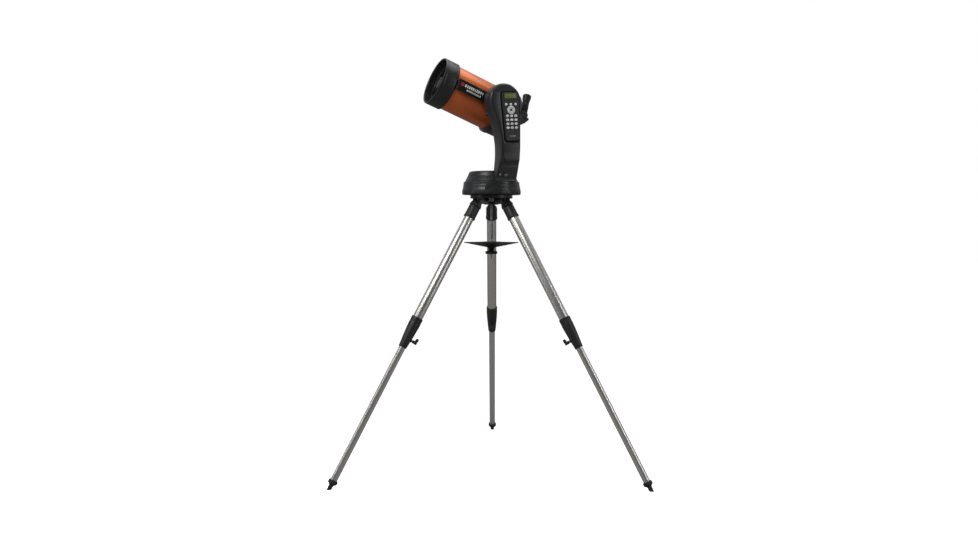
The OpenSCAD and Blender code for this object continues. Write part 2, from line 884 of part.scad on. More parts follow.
module optical_tube() {
    color(orange) at_tube() along_x()
        ring(tube_r, tube_r - tube_wall, -rear_x - tube_seat, front_x - front_cell_len + tube_seat);
}

module front_cell() {
    x0 = front_x - front_cell_len;
    color(black) at_tube() along_x() rotate_extrude($fn = 96) polygon([
        [tube_r + seat, x0], [front_r - 2, x0], [front_r, x0 + 2], [front_r, front_x - 3],
        [front_r - 1.2, front_x], [front_r - 4, front_x], [tube_r - 1, front_x - 3],
        [tube_r - 1.5, corrector_x + corrector_t], [corrector_r + seat, corrector_x + corrector_t],
        [corrector_r + seat, corrector_x], [aperture_d / 2, corrector_x],
        [aperture_d / 2, corrector_x - 4], [tube_r - 3, x0 + tube_seat + gap],
        [tube_r + seat, x0 + tube_seat + gap]
    ]);
}

module corrector_plate() {
    color("lightblue", 0.4) at_tube() along_x()
        ring(corrector_r, secondary_d / 2 - 4 + seat, corrector_x, corrector_x + corrector_t);
}

module retaining_ring() {
    color(grey) at_tube() along_x()
        ring(tube_r - 2.5, aperture_d / 2, corrector_x + corrector_t, corrector_x + corrector_t + 3);
}

// The drum in front of the corrector, its neck through it, and the convex mirror behind
module secondary_holder() {
    x1 = front_x - 16;
    color(black) at_tube() along_x() {
        translate([0, 0, corrector_x + corrector_t])
            cylinder(r = secondary_d / 2, h = x1 - corrector_x - corrector_t);
        translate([0, 0, corrector_x - 14])
            cylinder(r = secondary_d / 2 - 4, h = corrector_t + 15);
        ring(secondary_d / 2 - 1, 14, corrector_x - 14, corrector_x - 0.05);
    }
}

module rear_cell() {
    color(black) at_tube() along_x() difference() {
        rotate_extrude($fn = 96) polygon([
            [0, -rear_x], [rear_r - 1, -rear_x], [rear_r, -rear_x - 2], [rear_r, -rear_x - 16],
            [rear_r - 2, -rear_x - 18], [rear_r - 3, -rear_end + 16], [rear_r - 6, -rear_end + 5],
            [rear_r - 13, -rear_end], [0, -rear_end]
        ]);
        translate([0, 0, -rear_x - tube_seat - gap]) cylinder(r = tube_r + seat, h = 40);
        translate([0, 0, -rear_end + back_wall]) cylinder(r = tube_r - 3, h = rear_cell_len);
        translate([0, 0, -rear_end - 1]) cylinder(r = baffle_r + 0.02, h = back_wall + 2);
        translate([-focus_z, focus_y, -rear_end - 1]) cylinder(r = 4 + run, h = back_wall + 2);
    }
}

// A concave mirror on a sleeve that slides along the baffle
module primary_mirror() {
    bowl_r = 2 * 300;
    sag = bowl_r - sqrt(bowl_r * bowl_r - mirror_r * mirror_r);
    color("gainsboro") at_tube() along_x() difference() {
        union() {
            translate([0, 0, -mirror_x]) cylinder(r = mirror_r, h = 14 + sag);
            translate([0, 0, -mirror_x - 8]) cylinder(r = baffle_r + 6, h = 56);
        }
        translate([0, 0, -mirror_x - 10]) cylinder(r = baffle_r + run, h = 80);
        difference() {
            translate([0, 0, -mirror_x + 14]) cylinder(r = mirror_r - 1, h = 10);
            translate([0, 0, -mirror_x + 12]) cylinder(r = baffle_r + 6, h = 20);
            translate([0, 0, -mirror_x + 14]) mirror_floor(bowl_r);
        }
    }
}

// What is left of the mirror's front under its concave face
module mirror_floor(bowl_r) {
    difference() {
        cylinder(r = mirror_r, h = 10);
        translate([0, 0, bowl_r]) sphere(r = bowl_r, $fn = 96);
    }
}

module baffle_tube() {
    color(black) at_tube() along_x() ring(baffle_r, baffle_r - 2, -rear_end + 0.5, corrector_x - 130);
}

module focus_knob() {
    color(black) at_tube() along_x() translate([-focus_z, focus_y, -rear_end]) {
        difference() {
            translate([0, 0, -gap - 22]) cylinder(r = 13, h = 22);
            for (i = [0:11])
                rotate([0, 0, 30 * i]) translate([14, 0, -gap - 23]) cylinder(r = 2, h = 18, $fn = 24);
        }
        translate([0, 0, -1]) cylinder(r = 4, h = back_wall + 1);
    }
}

module visual_back() {
    color(black) at_tube() along_x() rotate_extrude() polygon([
        [barrel_r + run, -rear_end - back_len], [back_r - 3, -rear_end - back_len],
        [back_r - 3, -rear_end - 15], [back_r + 2, -rear_end - 13], [back_r + 2, -rear_end - 1.5],
        [back_r + 1, -rear_end], [barrel_r + run, -rear_end]
    ]);
}

// Elbow axes: Z along the eyepiece
module at_elbow() {
    at_tube() translate([-elbow_x, 0, 0]) rotate([diagonal_turn, 0, 0]) children();
}

module diagonal() {
    side = elbow_side;
    nose = side + gap;
    color(black) at_elbow() difference() {
        union() {
            slab([
                [-side - 1, side], [-side - 1, side - 3], [side - 3, -side - 1], [side, -side - 1],
                [side, side]
            ], -elbow_r, elbow_r);
            translate([side - 1, 0, 0]) along_x() cylinder(r = barrel_r, h = nose - side + 24);
            translate([0, 0, side - 1]) cylinder(r = holder_r, h = holder_top - side + 1);
        }
        intersection() {
            union() {
                translate([0, 0, -side]) cylinder(r = barrel_r + run, h = holder_top + side + 1);
                translate([-side, 0, 0]) along_x() cylinder(r = barrel_r - 2, h = nose + side + 40);
            }
            slab([[-60, 60], [60, -60], [60, 60]], -elbow_r, elbow_r);
        }
    }
}

module eyepiece() {
    color(black) at_elbow() rotate_extrude() polygon([
        [0, holder_top - 24], [barrel_r, holder_top - 24], [barrel_r, holder_top + gap],
        [barrel_r + 1.5, holder_top + gap], [barrel_r + 1.5, eyepiece_top - 16],
        [barrel_r + 2.5, eyepiece_top - 14], [barrel_r + 2, eyepiece_top],
        [barrel_r - 3, eyepiece_top], [barrel_r - 4, eyepiece_top - 5], [0, eyepiece_top - 5]
    ]);
}

// ---------- Nodes ----------

tripod_head();
hinge_bolts();
mount_knob(MOUNT_BOLTS[2]);  // mount_knob_front
mount_knob(MOUNT_BOLTS[1]);  // mount_knob_left
mount_knob(MOUNT_BOLTS[0]);  // mount_knob_right
centre_rod();
spreader_tray();
tray_knob();
leg_bracket(REAR);  // rear_bracket
upper_tube(REAR);  // rear_upper_tube
lock_collar(REAR);  // rear_collar
lock_screw(REAR);  // rear_lock
lower_tube(REAR);  // rear_lower_tube
foot(REAR);  // rear_foot
leg_bracket(LEFT);  // left_bracket
upper_tube(LEFT);  // left_upper_tube
lock_collar(LEFT);  // left_collar
lock_screw(LEFT);  // left_lock
lower_tube(LEFT);  // left_lower_tube
foot(LEFT);  // left_foot
leg_bracket(RIGHT);  // right_bracket
upper_tube(RIGHT);  // right_upper_tube
lock_collar(RIGHT);  // right_collar
lock_screw(RIGHT);  // right_lock
lower_tube(RIGHT);  // right_lower_tube
foot(RIGHT);  // right_foot
base_plate();
base_housing();
azimuth_gear();
azimuth_worm();
turntable();
base_dome();
battery_cover();
battery_pack();
drive_motors();
arm_inner_shell();
arm_outer_shell();
altitude_gear();
altitude_worm();
power_switch();
saddle();
clamp_knob();
hand_control();
display_window();
menu_keys();
direction_keys();
number_keys();
optical_tube();
front_cell();
corrector_plate();
retaining_ring();
secondary_holder();
rear_cell();
primary_mirror();
baffle_tube();
focus_knob();
visual_back();
diagonal();
eyepiece();
dovetail_bar();
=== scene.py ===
import json
import math

import bmesh
import bpy
from mathutils import Matrix, Vector


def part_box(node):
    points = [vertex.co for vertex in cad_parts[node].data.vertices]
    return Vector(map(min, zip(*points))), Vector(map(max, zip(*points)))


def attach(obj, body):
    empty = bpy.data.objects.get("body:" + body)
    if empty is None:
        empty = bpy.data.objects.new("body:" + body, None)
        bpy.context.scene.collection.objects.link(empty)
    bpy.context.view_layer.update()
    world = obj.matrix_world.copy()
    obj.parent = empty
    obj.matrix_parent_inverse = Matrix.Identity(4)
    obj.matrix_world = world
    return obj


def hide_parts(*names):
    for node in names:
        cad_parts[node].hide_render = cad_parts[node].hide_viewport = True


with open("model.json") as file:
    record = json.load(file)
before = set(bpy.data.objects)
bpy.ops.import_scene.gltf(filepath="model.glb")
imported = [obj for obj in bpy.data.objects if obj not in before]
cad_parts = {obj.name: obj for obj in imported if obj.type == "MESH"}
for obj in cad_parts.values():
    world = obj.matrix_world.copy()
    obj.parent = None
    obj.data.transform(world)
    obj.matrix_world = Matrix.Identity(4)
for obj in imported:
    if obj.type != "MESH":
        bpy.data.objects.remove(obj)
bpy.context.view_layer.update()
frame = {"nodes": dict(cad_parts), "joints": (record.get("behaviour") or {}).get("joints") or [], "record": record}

# The visible pieces and finishes of a Schmidt-Cassegrain telescope on a single-arm mount and a
# steel tripod. Shapes are worked out in millimetres, in axes taken from the frame's own joints.

MM = 0.001
TURN = 2 * math.pi
JOINTS = {joint["name"]: joint for joint in frame["joints"]}
LEGS = ("rear", "left", "right")
LOBES = 3
TONGUE_CHEEK = 1.8      # what a leg tongue's half thickness lacks of its round end's radius


# ---------- Axes and sizes from the frame ----------

def axes(origin, along, across):
    """Axes with Z along one direction and X as near as it can be to another."""
    z = Vector(along).normalized()
    x = Vector(across)
    x = (x - z * z.dot(x)).normalized()
    turn = Matrix((x, z.cross(x), z)).transposed().to_4x4()
    turn.translation = Vector(origin)
    return turn


def way(joint):
    """The direction of a joint's axis."""
    return Vector(JOINTS[joint]["axis"]).normalized()


def pivot(joint):
    """The point that a hinge turns about, in metres."""
    return Vector(JOINTS[joint]["pos_m"])


def points(node, place):
    """A node's corners in the given axes, in millimetres."""
    inverse = place.inverted()
    return [(inverse @ v.co) / MM for v in frame["nodes"][node].data.vertices]


def reach(node, place, side=2):
    """How low and how high a node goes along one of the given axes."""
    found = [p[side] for p in points(node, place)]
    return min(found), max(found)


def girth(node, place, low=-1e9, high=1e9):
    """A node's largest radius about Z between two heights."""
    return max(math.hypot(p.x, p.y) for p in points(node, place) if low <= p.z <= high)


def bore(node, place, low=-1e9, high=1e9):
    """A node's smallest radius about Z between two heights."""
    return min(math.hypot(p.x, p.y) for p in points(node, place) if low <= p.z <= high)


def middle(node, direction):
    """The middle of a node along a direction, in metres."""
    found = [v.co.dot(direction) for v in frame["nodes"][node].data.vertices]
    return (min(found) + max(found)) / 2


def moved(place, x=0.0, y=0.0, z=0.0):
    """The same axes with their origin moved, in millimetres."""
    return place @ Matrix.Translation(Vector((x, y, z)) * MM)


def show(made):
    bpy.context.scene.collection.objects.link(made)
    return made


UP = Vector((0, 0, 1))
FLOOR = Matrix.Identity(4)

# Mount axes: X the way the tube points, Y towards the arm, Z up, with the origin on the floor
TOWARDS_ARM = way("altitude")
if TOWARDS_ARM.dot(sum(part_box("arm_outer_shell"), Vector())) < 0:
    TOWARDS_ARM = -TOWARDS_ARM
MOUNT = axes((0, 0, 0), UP, TOWARDS_ARM.cross(UP))

# Tube axes: Z forwards along the optical axis, Y towards the arm, X down
FORWARD = way("tube_slide")
if FORWARD.z < 0:
    FORWARD = -FORWARD
ALTITUDE = pivot("altitude")
TUBE_CENTRE = ALTITUDE + TOWARDS_ARM * (middle("optical_tube", TOWARDS_ARM) - ALTITUDE.dot(TOWARDS_ARM))
TUBE = axes(TUBE_CENTRE, FORWARD, TOWARDS_ARM.cross(FORWARD))

# Hand control axes: X across, Y up it, Z out of its face, with the origin in the middle of its back
HANDSET_UP = Vector()
for corner_set, sign in (("menu_keys", 1), ("number_keys", -1)):
    HANDSET_UP += sign * sum(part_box(corner_set), Vector()) / 2
HANDSET_UP = (HANDSET_UP - TOWARDS_ARM * HANDSET_UP.dot(TOWARDS_ARM)).normalized()
HANDSET_ACROSS = HANDSET_UP.cross(TOWARDS_ARM)
HANDSET_BACK = (
    HANDSET_ACROSS * middle("hand_control", HANDSET_ACROSS)
    + HANDSET_UP * middle("hand_control", HANDSET_UP)
)
HANDSET = axes(HANDSET_BACK, TOWARDS_ARM, HANDSET_ACROSS)
HANDSET = moved(HANDSET, z=reach("hand_control", HANDSET)[0])

# Eyepiece axes: Z along the eyepiece, X back along the tube, with the origin on the tube's axis
EYEPIECE_WAY = way("eyepiece_slide")
if EYEPIECE_WAY.z < 0:
    EYEPIECE_WAY = -EYEPIECE_WAY
ELBOW = axes(TUBE_CENTRE, EYEPIECE_WAY, -FORWARD)
ELBOW = moved(ELBOW, x=sum(reach("eyepiece", ELBOW, 0)) / 2)


# ---------- Outlines ----------

def corner_arc(a, b, c, radius, parts):
    """The points that round corner b, between a and c."""
    to_a, to_c = (a - b), (c - b)
    room = min(to_a.length, to_c.length) * 0.48
    to_a.normalize()
    to_c.normalize()
    half = to_a.angle(to_c) / 2
    if half > math.radians(89) or half < math.radians(2) or radius <= 0:
        return [b]
    radius = min(radius, room * math.tan(half))
    centre = b + (to_a + to_c).normalized() * radius / math.sin(half)
    start = b + to_a * radius / math.tan(half) - centre
    end = b + to_c * radius / math.tan(half) - centre
    sweep = math.atan2(start.x * end.y - start.y * end.x, start.dot(end))
    found = []
    for i in range(parts + 1):
        angle = sweep * i / parts
        found.append(centre + Vector((
            start.x * math.cos(angle) - start.y * math.sin(angle),
            start.x * math.sin(angle) + start.y * math.cos(angle),
        )))
    return found


def rounded(outline, radius, parts=4, closed=True):
    """An outline with its corners rounded, all by one radius or each by its own."""
    outline = [Vector(p) for p in outline]
    count = len(outline)
    radii = radius if isinstance(radius, (list, tuple)) else [radius] * count
    found = []
    for i, b in enumerate(outline):
        if not closed and i in (0, count - 1):
            found.append(b)
        else:
            found += corner_arc(outline[i - 1], b, outline[(i + 1) % count], radii[i], parts)
    return found


def box_outline(width, height, x=0.0, y=0.0):
    w, h = width / 2, height / 2
    return [(x - w, y - h), (x + w, y - h), (x + w, y + h), (x - w, y + h)]


def arc(radius, first, last, parts, x=0.0, y=0.0):
    """Points along a circle, from one angle to another in degrees."""
    angles = [math.radians(first + (last - first) * i / parts) for i in range(parts + 1)]
    return [(x + radius * math.cos(angle), y + radius * math.sin(angle)) for angle in angles]


def inset(outline, depth):
    """An anticlockwise outline moved inwards, each corner along its own bisector."""
    count = len(outline)
    found = []
    for i, p in enumerate(outline):
        before = (p - outline[i - 1]).normalized()
        after = (outline[(i + 1) % count] - p).normalized()
        n0 = Vector((-before.y, before.x))
        n1 = Vector((-after.y, after.x))
        found.append(p + (n0 + n1) * depth / max(0.4, 1 + n0.dot(n1)))
    return found


def bezier(a, b, c, d, parts):
    """Points along one cubic curve."""
    a, b, c, d = (Vector(p) for p in (a, b, c, d))
    found = []
    for i in range(parts + 1):
        t = i / parts
        s = 1 - t
        found.append(a * s ** 3 + b * 3 * t * s * s + c * 3 * t * t * s + d * t ** 3)
    return found


# ---------- Solids ----------

def loft(rings, ends=True, closed=False):
    """A skin over rings of points that all have the same count."""
    bm = bmesh.new()
    made = [[bm.verts.new(p) for p in ring] for ring in rings]
    for a, b in zip(made, made[1:] + (made[:1] if closed else [])):
        for i in range(len(a)):
            j = (i + 1) % len(a)
            bm.faces.new((a[i], a[j], b[j], b[i]))
    if ends and not closed:
        bm.faces.new(list(reversed(made[0])))
        bm.faces.new(made[-1])
    return tidy(bm)


def tidy(bm):
    bmesh.ops.remove_doubles(bm, verts=bm.verts, dist=1e-4)
    bmesh.ops.dissolve_degenerate(bm, edges=bm.edges, dist=1e-4)
    bmesh.ops.recalc_face_normals(bm, faces=bm.faces)
    return bm


def turned(profile, steps=96, ease=0.5, parts=3, shape=None):
    """An outline of (radius, height) points spun about Z. It is a solid when the outline starts and
    ends on the axis, and a hollow ring otherwise. shape moves each point: (radius, height, angle)."""
    on_axis = profile[0][0] == 0 and profile[-1][0] == 0
    outline = rounded(profile, ease, parts, closed=not on_axis)
    rings = []
    for radius, height in outline:
        ring = []
        for i in range(steps):
            angle = TURN * i / steps
            r, z = shape(radius, height, angle) if shape else (radius, height)
            ring.append((r * math.cos(angle), r * math.sin(angle), z))
        rings.append(ring)
    return loft(rings, ends=False, closed=not on_axis)


def pressed(outline, low, high, ease=0.6, parts=3):
    """An outline extruded in Z with its edges rounded."""
    outline = [Vector(p) for p in outline]
    ease = min(ease, (high - low) * 0.45)
    area = sum(a.x * b.y - a.y * b.x for a, b in zip(outline, outline[1:] + outline[:1]))
    if area < 0:
        outline = list(reversed(outline))
    rings = []
    for i in range(parts):
        angle = math.pi / 2 * i / parts
        rings.append((ease * (1 - math.sin(angle)), low + ease * (1 - math.cos(angle))))
    rings += [(0, low + ease), (0, high - ease)]
    for i in range(1, parts + 1):
        angle = math.pi / 2 * i / parts
        rings.append((ease * (1 - math.cos(angle)), high - ease * (1 - math.sin(angle))))
    return stacked(lambda depth: inset(outline, depth), rings)


def stacked(outline_at, steps, closed=False):
    """A skin over flat outlines, each given by its size and its height."""
    return loft([[(p.x, p.y, z) for p in outline_at(size)] for size, z in steps], closed=closed)


def rod(radius, low, high, steps=96, ease=0.0):
    return turned([(0, low), (radius, low), (radius, high), (0, high)], steps, ease)


def sleeve(inner, outer, low, high, steps=96, ease=0.0):
    return turned([(inner, low), (outer, low), (outer, high), (inner, high)], steps, ease)


def fluted(count, depth, inner, low=-1e9, high=1e9, power=2):
    """A shape for turned() that cuts evenly spaced flutes outside a radius, between two heights."""
    def shape(r, z, angle):
        deep = depth * max(0.0, math.cos(count * angle)) ** power
        return (r - deep if r > inner and low < z < high else r), z
    return shape


def laid(bm, place):
    """The same solid moved to other axes, in millimetres."""
    shift = place.copy()
    shift.translation = place.translation / MM
    bmesh.ops.transform(bm, matrix=shift, verts=bm.verts)
    return bm


def placed(bm, x=0.0, y=0.0, z=0.0, turn=0.0, about="Z"):
    """The same solid turned about an axis, then moved."""
    matrix = Matrix.Translation((x, y, z)) @ Matrix.Rotation(math.radians(turn), 4, about)
    bmesh.ops.transform(bm, matrix=matrix, verts=bm.verts)
    return bm


def stood_up(bm):
    """Swaps Y and Z, so that an outline drawn flat stands upright and its depth runs along Y."""
    for v in bm.verts:
        v.co.y, v.co.z = v.co.z, v.co.y
    bmesh.ops.reverse_faces(bm, faces=bm.faces)
    return bm


def sliced(bm, point, normal, keep_below=True):
    """Adds a row of edges where a plane cuts a solid, or takes away and closes what lies below it."""
    cut = bmesh.ops.bisect_plane(bm, geom=bm.verts[:] + bm.edges[:] + bm.faces[:], dist=1e-4,
                                 plane_co=point, plane_no=normal, clear_inner=not keep_below)
    if not keep_below:
        edges = [e for e in cut["geom_cut"] if isinstance(e, bmesh.types.BMEdge)]
        bmesh.ops.holes_fill(bm, edges=edges)


def gathered(*solids):
    """Several separate solids as one mesh."""
    whole = bmesh.new()
    for bm in solids:
        part = bpy.data.meshes.new("part")
        bm.to_mesh(part)
        bm.free()
        whole.from_mesh(part)
        bpy.data.meshes.remove(part)
    return whole


def scratch_object(bm):
    mesh = bpy.data.meshes.new("scratch")
    bm.to_mesh(mesh)
    bm.free()
    made = bpy.data.objects.new("scratch", mesh)
    show(made)
    return made


def carved(solid, *tools, operation="DIFFERENCE"):
    """A solid with others cut from it, or added to it."""
    target = scratch_object(solid)
    others = [scratch_object(tool) for tool in tools]
    for other in others:
        step = target.modifiers.new("step", "BOOLEAN")
        step.object = other
        step.operation = operation
        step.solver = "EXACT"
    bpy.context.view_layer.update()
    result = bpy.data.meshes.new_from_object(target.evaluated_get(bpy.context.evaluated_depsgraph_get()))
    bm = bmesh.new()
    bm.from_mesh(result)
    for made in [target] + others:
        mesh = made.data
        bpy.data.objects.remove(made)
        bpy.data.meshes.remove(mesh)
    bpy.data.meshes.remove(result)
    bmesh.ops.remove_doubles(bm, verts=bm.verts, dist=1e-4)
    return bm


def welded(solid, *others):
    return carved(solid, *others, operation="UNION")


def piece(name, bm, place, body, slot, stands_for=(), material=None, crease=38):
    """A finished piece: its mesh in place, its finish, and the body that it rides on. The finish is
    the slot's own unless another is given."""
    mesh = bpy.data.meshes.new(name)
    bm.to_mesh(mesh)
    bm.free()
    mesh.transform(Matrix.Scale(MM, 4))
    own = mesh.attributes.new("own", "FLOAT_VECTOR", "POINT")
    own.data.foreach_set("vector", [c for v in mesh.vertices for c in v.co])
    mesh.transform(place)
    mesh.shade_smooth()
    mesh.set_sharp_from_angle(angle=math.radians(crease))
    mesh.materials.clear()
    mesh.materials.append(material or OWN[slot])
    made = bpy.data.objects.new(name, mesh)
    show(made)
    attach(made, body)
    if stands_for:
        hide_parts(*stands_for)
    return made


# ---------- Repeated details, grown by Geometry Nodes ----------

def add(tree, kind, inputs=None, **settings):
    """A node with its settings, and its inputs set to values or linked to sockets."""
    made = tree.nodes.new(kind)
    for key, value in settings.items():
        setattr(made, key, value)
    for key, value in (inputs or {}).items():
        if isinstance(value, bpy.types.NodeSocket):
            tree.links.new(value, made.inputs[key])
        else:
            made.inputs[key].default_value = value
    return made


def maths(tree, operation, a, b=0.0):
    return add(tree, "ShaderNodeMath", {0: a, 1: b}, operation=operation).outputs[0]


def grower(name, *sizes):
    """A Geometry Nodes tree with a number for each size, and a finish."""
    tree = bpy.data.node_groups.new(name, "GeometryNodeTree")
    tree.interface.new_socket("Geometry", in_out="OUTPUT", socket_type="NodeSocketGeometry")
    for label in sizes:
        kind = "NodeSocketInt" if label == "Count" else "NodeSocketFloat"
        tree.interface.new_socket(label, in_out="INPUT", socket_type=kind)
    tree.interface.new_socket("Finish", in_out="INPUT", socket_type="NodeSocketMaterial")
    return tree, tree.nodes.new("NodeGroupInput").outputs


def finished(tree, given, geometry):
    """Makes copies real, gives them the finish and sends them out of the tree."""
    real = add(tree, "GeometryNodeRealizeInstances", {"Geometry": geometry})
    coated = add(tree, "GeometryNodeSetMaterial", {
        "Geometry": real.outputs[0], "Material": given["Finish"]})
    tree.links.new(coated.outputs[0], tree.nodes.new("NodeGroupOutput").inputs[0])
    return tree


def cylinder(tree, sides, radius, depth, lift=0.0):
    """A cylinder with its middle raised by a distance."""
    made = add(tree, "GeometryNodeMeshCylinder", {"Vertices": sides, "Radius": radius, "Depth": depth})
    raised = add(tree, "ShaderNodeCombineXYZ", {"Z": lift})
    return add(tree, "GeometryNodeTransform", {
        "Geometry": made.outputs["Mesh"], "Translation": raised.outputs[0]}).outputs[0]


def on_circle(tree, given, inputs):
    """Copies of some geometry, evenly spaced round a circle."""
    circle = add(tree, "GeometryNodeMeshCircle", {
        "Vertices": given["Count"], "Radius": given["Ring Radius"]})
    return add(tree, "GeometryNodeInstanceOnPoints", {"Points": circle.outputs[0], **inputs}).outputs[0]


def cap_screw_ring():
    """Round screw heads with a hollow hexagon, evenly spaced round a circle."""
    tree, given = grower("cap screw ring", "Count", "Ring Radius", "Head Radius", "Head Height")
    radius, height = given["Head Radius"], given["Head Height"]
    solid = add(tree, "GeometryNodeMeshBoolean", operation="UNION", solver="EXACT")
    for share, lift in ((1.0, 0.0), (0.86, 0.16)):
        part = cylinder(tree, 20, maths(tree, "MULTIPLY", radius, share), height,
                        maths(tree, "MULTIPLY", height, lift))
        tree.links.new(part, solid.inputs["Mesh 2"])
    key = cylinder(tree, 6, maths(tree, "MULTIPLY", radius, 0.45), height,
                   maths(tree, "MULTIPLY", height, 0.45))
    head = add(tree, "GeometryNodeMeshBoolean", {"Mesh 1": solid.outputs[0], "Mesh 2": key},
               operation="DIFFERENCE", solver="EXACT")
    return finished(tree, given, on_circle(tree, given, {"Instance": head.outputs[0]}))


def rib_ring():
    """Upright ribs, evenly spaced round a cylinder."""
    tree, given = grower("rib ring", "Count", "Ring Radius", "Rib Width", "Rib Depth", "Rib Length")
    size = add(tree, "ShaderNodeCombineXYZ", {
        "X": given["Rib Depth"], "Y": given["Rib Width"], "Z": given["Rib Length"]})
    ball = add(tree, "GeometryNodeMeshUVSphere", {"Segments": 8, "Rings": 6, "Radius": 0.5})
    rib = add(tree, "GeometryNodeTransform", {"Geometry": ball.outputs["Mesh"], "Scale": size.outputs[0]})
    position = add(tree, "GeometryNodeInputPosition")
    aim = add(tree, "FunctionNodeAlignRotationToVector", {"Vector": position.outputs[0]}, axis="X")
    return finished(tree, given, on_circle(tree, given, {
        "Instance": rib.outputs[0], "Rotation": aim.outputs[0]}))


def threaded_rod():
    """A rod with a screw thread: a round core and a ridge that winds up it."""
    tree, given = grower("threaded rod", "Length", "Core Radius", "Ridge", "Turns")
    length, radius = given["Length"], given["Core Radius"]
    core = cylinder(tree, 24, radius, length, maths(tree, "MULTIPLY", length, 0.5))
    path = add(tree, "GeometryNodeCurveSpiral", {
        "Resolution": 14, "Rotations": given["Turns"], "Start Radius": radius, "End Radius": radius,
        "Height": length})
    section = add(tree, "GeometryNodeCurvePrimitiveCircle", {"Resolution": 4, "Radius": given["Ridge"]})
    ridge = add(tree, "GeometryNodeCurveToMesh", {
        "Curve": path.outputs[0], "Profile Curve": section.outputs[0], "Fill Caps": True})
    both = add(tree, "GeometryNodeJoinGeometry")
    for part in (core, ridge.outputs[0]):
        tree.links.new(part, both.inputs[0])
    return finished(tree, given, both.outputs[0])


GROWERS = {"cap_screws": cap_screw_ring(), "ribs": rib_ring(), "thread": threaded_rod()}


def grown(kind, finish, **sizes):
    """The plain solid that a tree grows from these sizes, in millimetres."""
    tree = GROWERS[kind]
    holder = bpy.data.objects.new("holder", bpy.data.meshes.new("holder"))
    show(holder)
    grow = holder.modifiers.new("grow", "NODES")
    grow.node_group = tree
    sizes["Finish"] = finish
    for item in tree.interface.items_tree:
        if item.in_out == "INPUT":
            grow[item.identifier] = sizes[item.name.replace(" ", "_")]
    bpy.context.view_layer.update()
    mesh = bpy.data.meshes.new_from_object(holder.evaluated_get(bpy.context.evaluated_depsgraph_get()))
    bm = bmesh.new()
    bm.from_mesh(mesh)
    bpy.data.objects.remove(holder)
    bpy.data.meshes.remove(mesh)
    return bm


# ---------- Patterns that several finishes share ----------

def shader_group(name, inputs, outputs):
    tree = bpy.data.node_groups.new(name, "ShaderNodeTree")
    tree.interface.new_socket("Place", in_out="INPUT", socket_type="NodeSocketVector")
    for label, value in inputs.items():
        socket = tree.interface.new_socket(label, in_out="INPUT", socket_type="NodeSocketFloat")
        socket.default_value = value
    for label in outputs:
        tree.interface.new_socket(label, in_out="OUTPUT", socket_type="NodeSocketFloat")
    return tree, tree.nodes.new("NodeGroupInput").outputs, tree.nodes.new("NodeGroupOutput").inputs


def spread(tree, value, low, high, out_low=0.0, out_high=1.0):
    """A value's range from low to high stretched over another range."""
    return add(tree, "ShaderNodeMapRange", {
        "Value": value, "From Min": low, "From Max": high, "To Min": out_low, "To Max": out_high,
    }, clamp=True).outputs[0]


def grain_pattern():
    """The fine pebbled skin of a moulding or a painted casting."""
    tree, given, out = shader_group("moulded grain", {"Size": 0.0006}, ("Height", "Shade"))
    scale = maths(tree, "DIVIDE", 1.0, given["Size"])
    cells = add(tree, "ShaderNodeTexVoronoi", {"Vector": given["Place"], "Scale": scale},
                feature="SMOOTH_F1")
    fine = add(tree, "ShaderNodeTexNoise", {
        "Vector": given["Place"], "Scale": scale, "Detail": 3.0, "Roughness": 0.6})
    height = maths(tree, "ADD", maths(tree, "MULTIPLY", cells.outputs["Distance"], 0.7),
                   maths(tree, "MULTIPLY", fine.outputs["Fac"], 0.6))
    tree.links.new(height, out["Height"])
    tree.links.new(spread(tree, fine.outputs["Fac"], 0.3, 0.7), out["Shade"])
    return tree


def wear_pattern():
    """Handling marks: soft smudges, a little dust and a few fine scratches."""
    tree, given, out = shader_group("handling wear", {"Size": 0.05}, ("Smudge", "Dust", "Scratch"))
    scale = maths(tree, "DIVIDE", 1.0, given["Size"])
    soft = add(tree, "ShaderNodeTexNoise", {
        "Vector": given["Place"], "Scale": scale, "Detail": 4.0, "Roughness": 0.55, "Distortion": 0.4})
    tree.links.new(spread(tree, soft.outputs["Fac"], 0.35, 0.7), out["Smudge"])
    specks = add(tree, "ShaderNodeTexNoise", {
        "Vector": given["Place"], "Scale": maths(tree, "MULTIPLY", scale, 45.0), "Detail": 2.0})
    drift = spread(tree, soft.outputs["Fac"], 0.4, 0.75)
    dust = maths(tree, "MULTIPLY", spread(tree, specks.outputs["Fac"], 0.58, 0.74), drift)
    tree.links.new(dust, out["Dust"])
    stretched = add(tree, "ShaderNodeMapping", {
        "Vector": given["Place"], "Rotation": (0.5, 0.9, 0.3), "Scale": (1.0, 22.0, 22.0)})
    lines = add(tree, "ShaderNodeTexNoise", {
        "Vector": stretched.outputs[0], "Scale": scale, "Detail": 2.0, "Distortion": 0.6})
    scratch = maths(tree, "MULTIPLY", spread(tree, lines.outputs["Fac"], 0.70, 0.76), drift)
    tree.links.new(scratch, out["Scratch"])
    return tree


def brushed_pattern():
    """Fine drawn lines along Z, as on polished tube, with broader soft bands."""
    tree, given, out = shader_group("drawn lines", {"Size": 0.0004}, ("Height", "Shade"))
    scale = maths(tree, "DIVIDE", 1.0, given["Size"])
    long = add(tree, "ShaderNodeMapping", {"Vector": given["Place"], "Scale": (1.0, 1.0, 0.006)})
    lines = add(tree, "ShaderNodeTexNoise", {
        "Vector": long.outputs[0], "Scale": scale, "Detail": 3.0, "Roughness": 0.7})
    broad = add(tree, "ShaderNodeTexNoise", {
        "Vector": long.outputs[0], "Scale": maths(tree, "MULTIPLY", scale, 0.12), "Detail": 2.0})
    tree.links.new(lines.outputs["Fac"], out["Height"])
    tree.links.new(spread(tree, broad.outputs["Fac"], 0.3, 0.7), out["Shade"])
    return tree


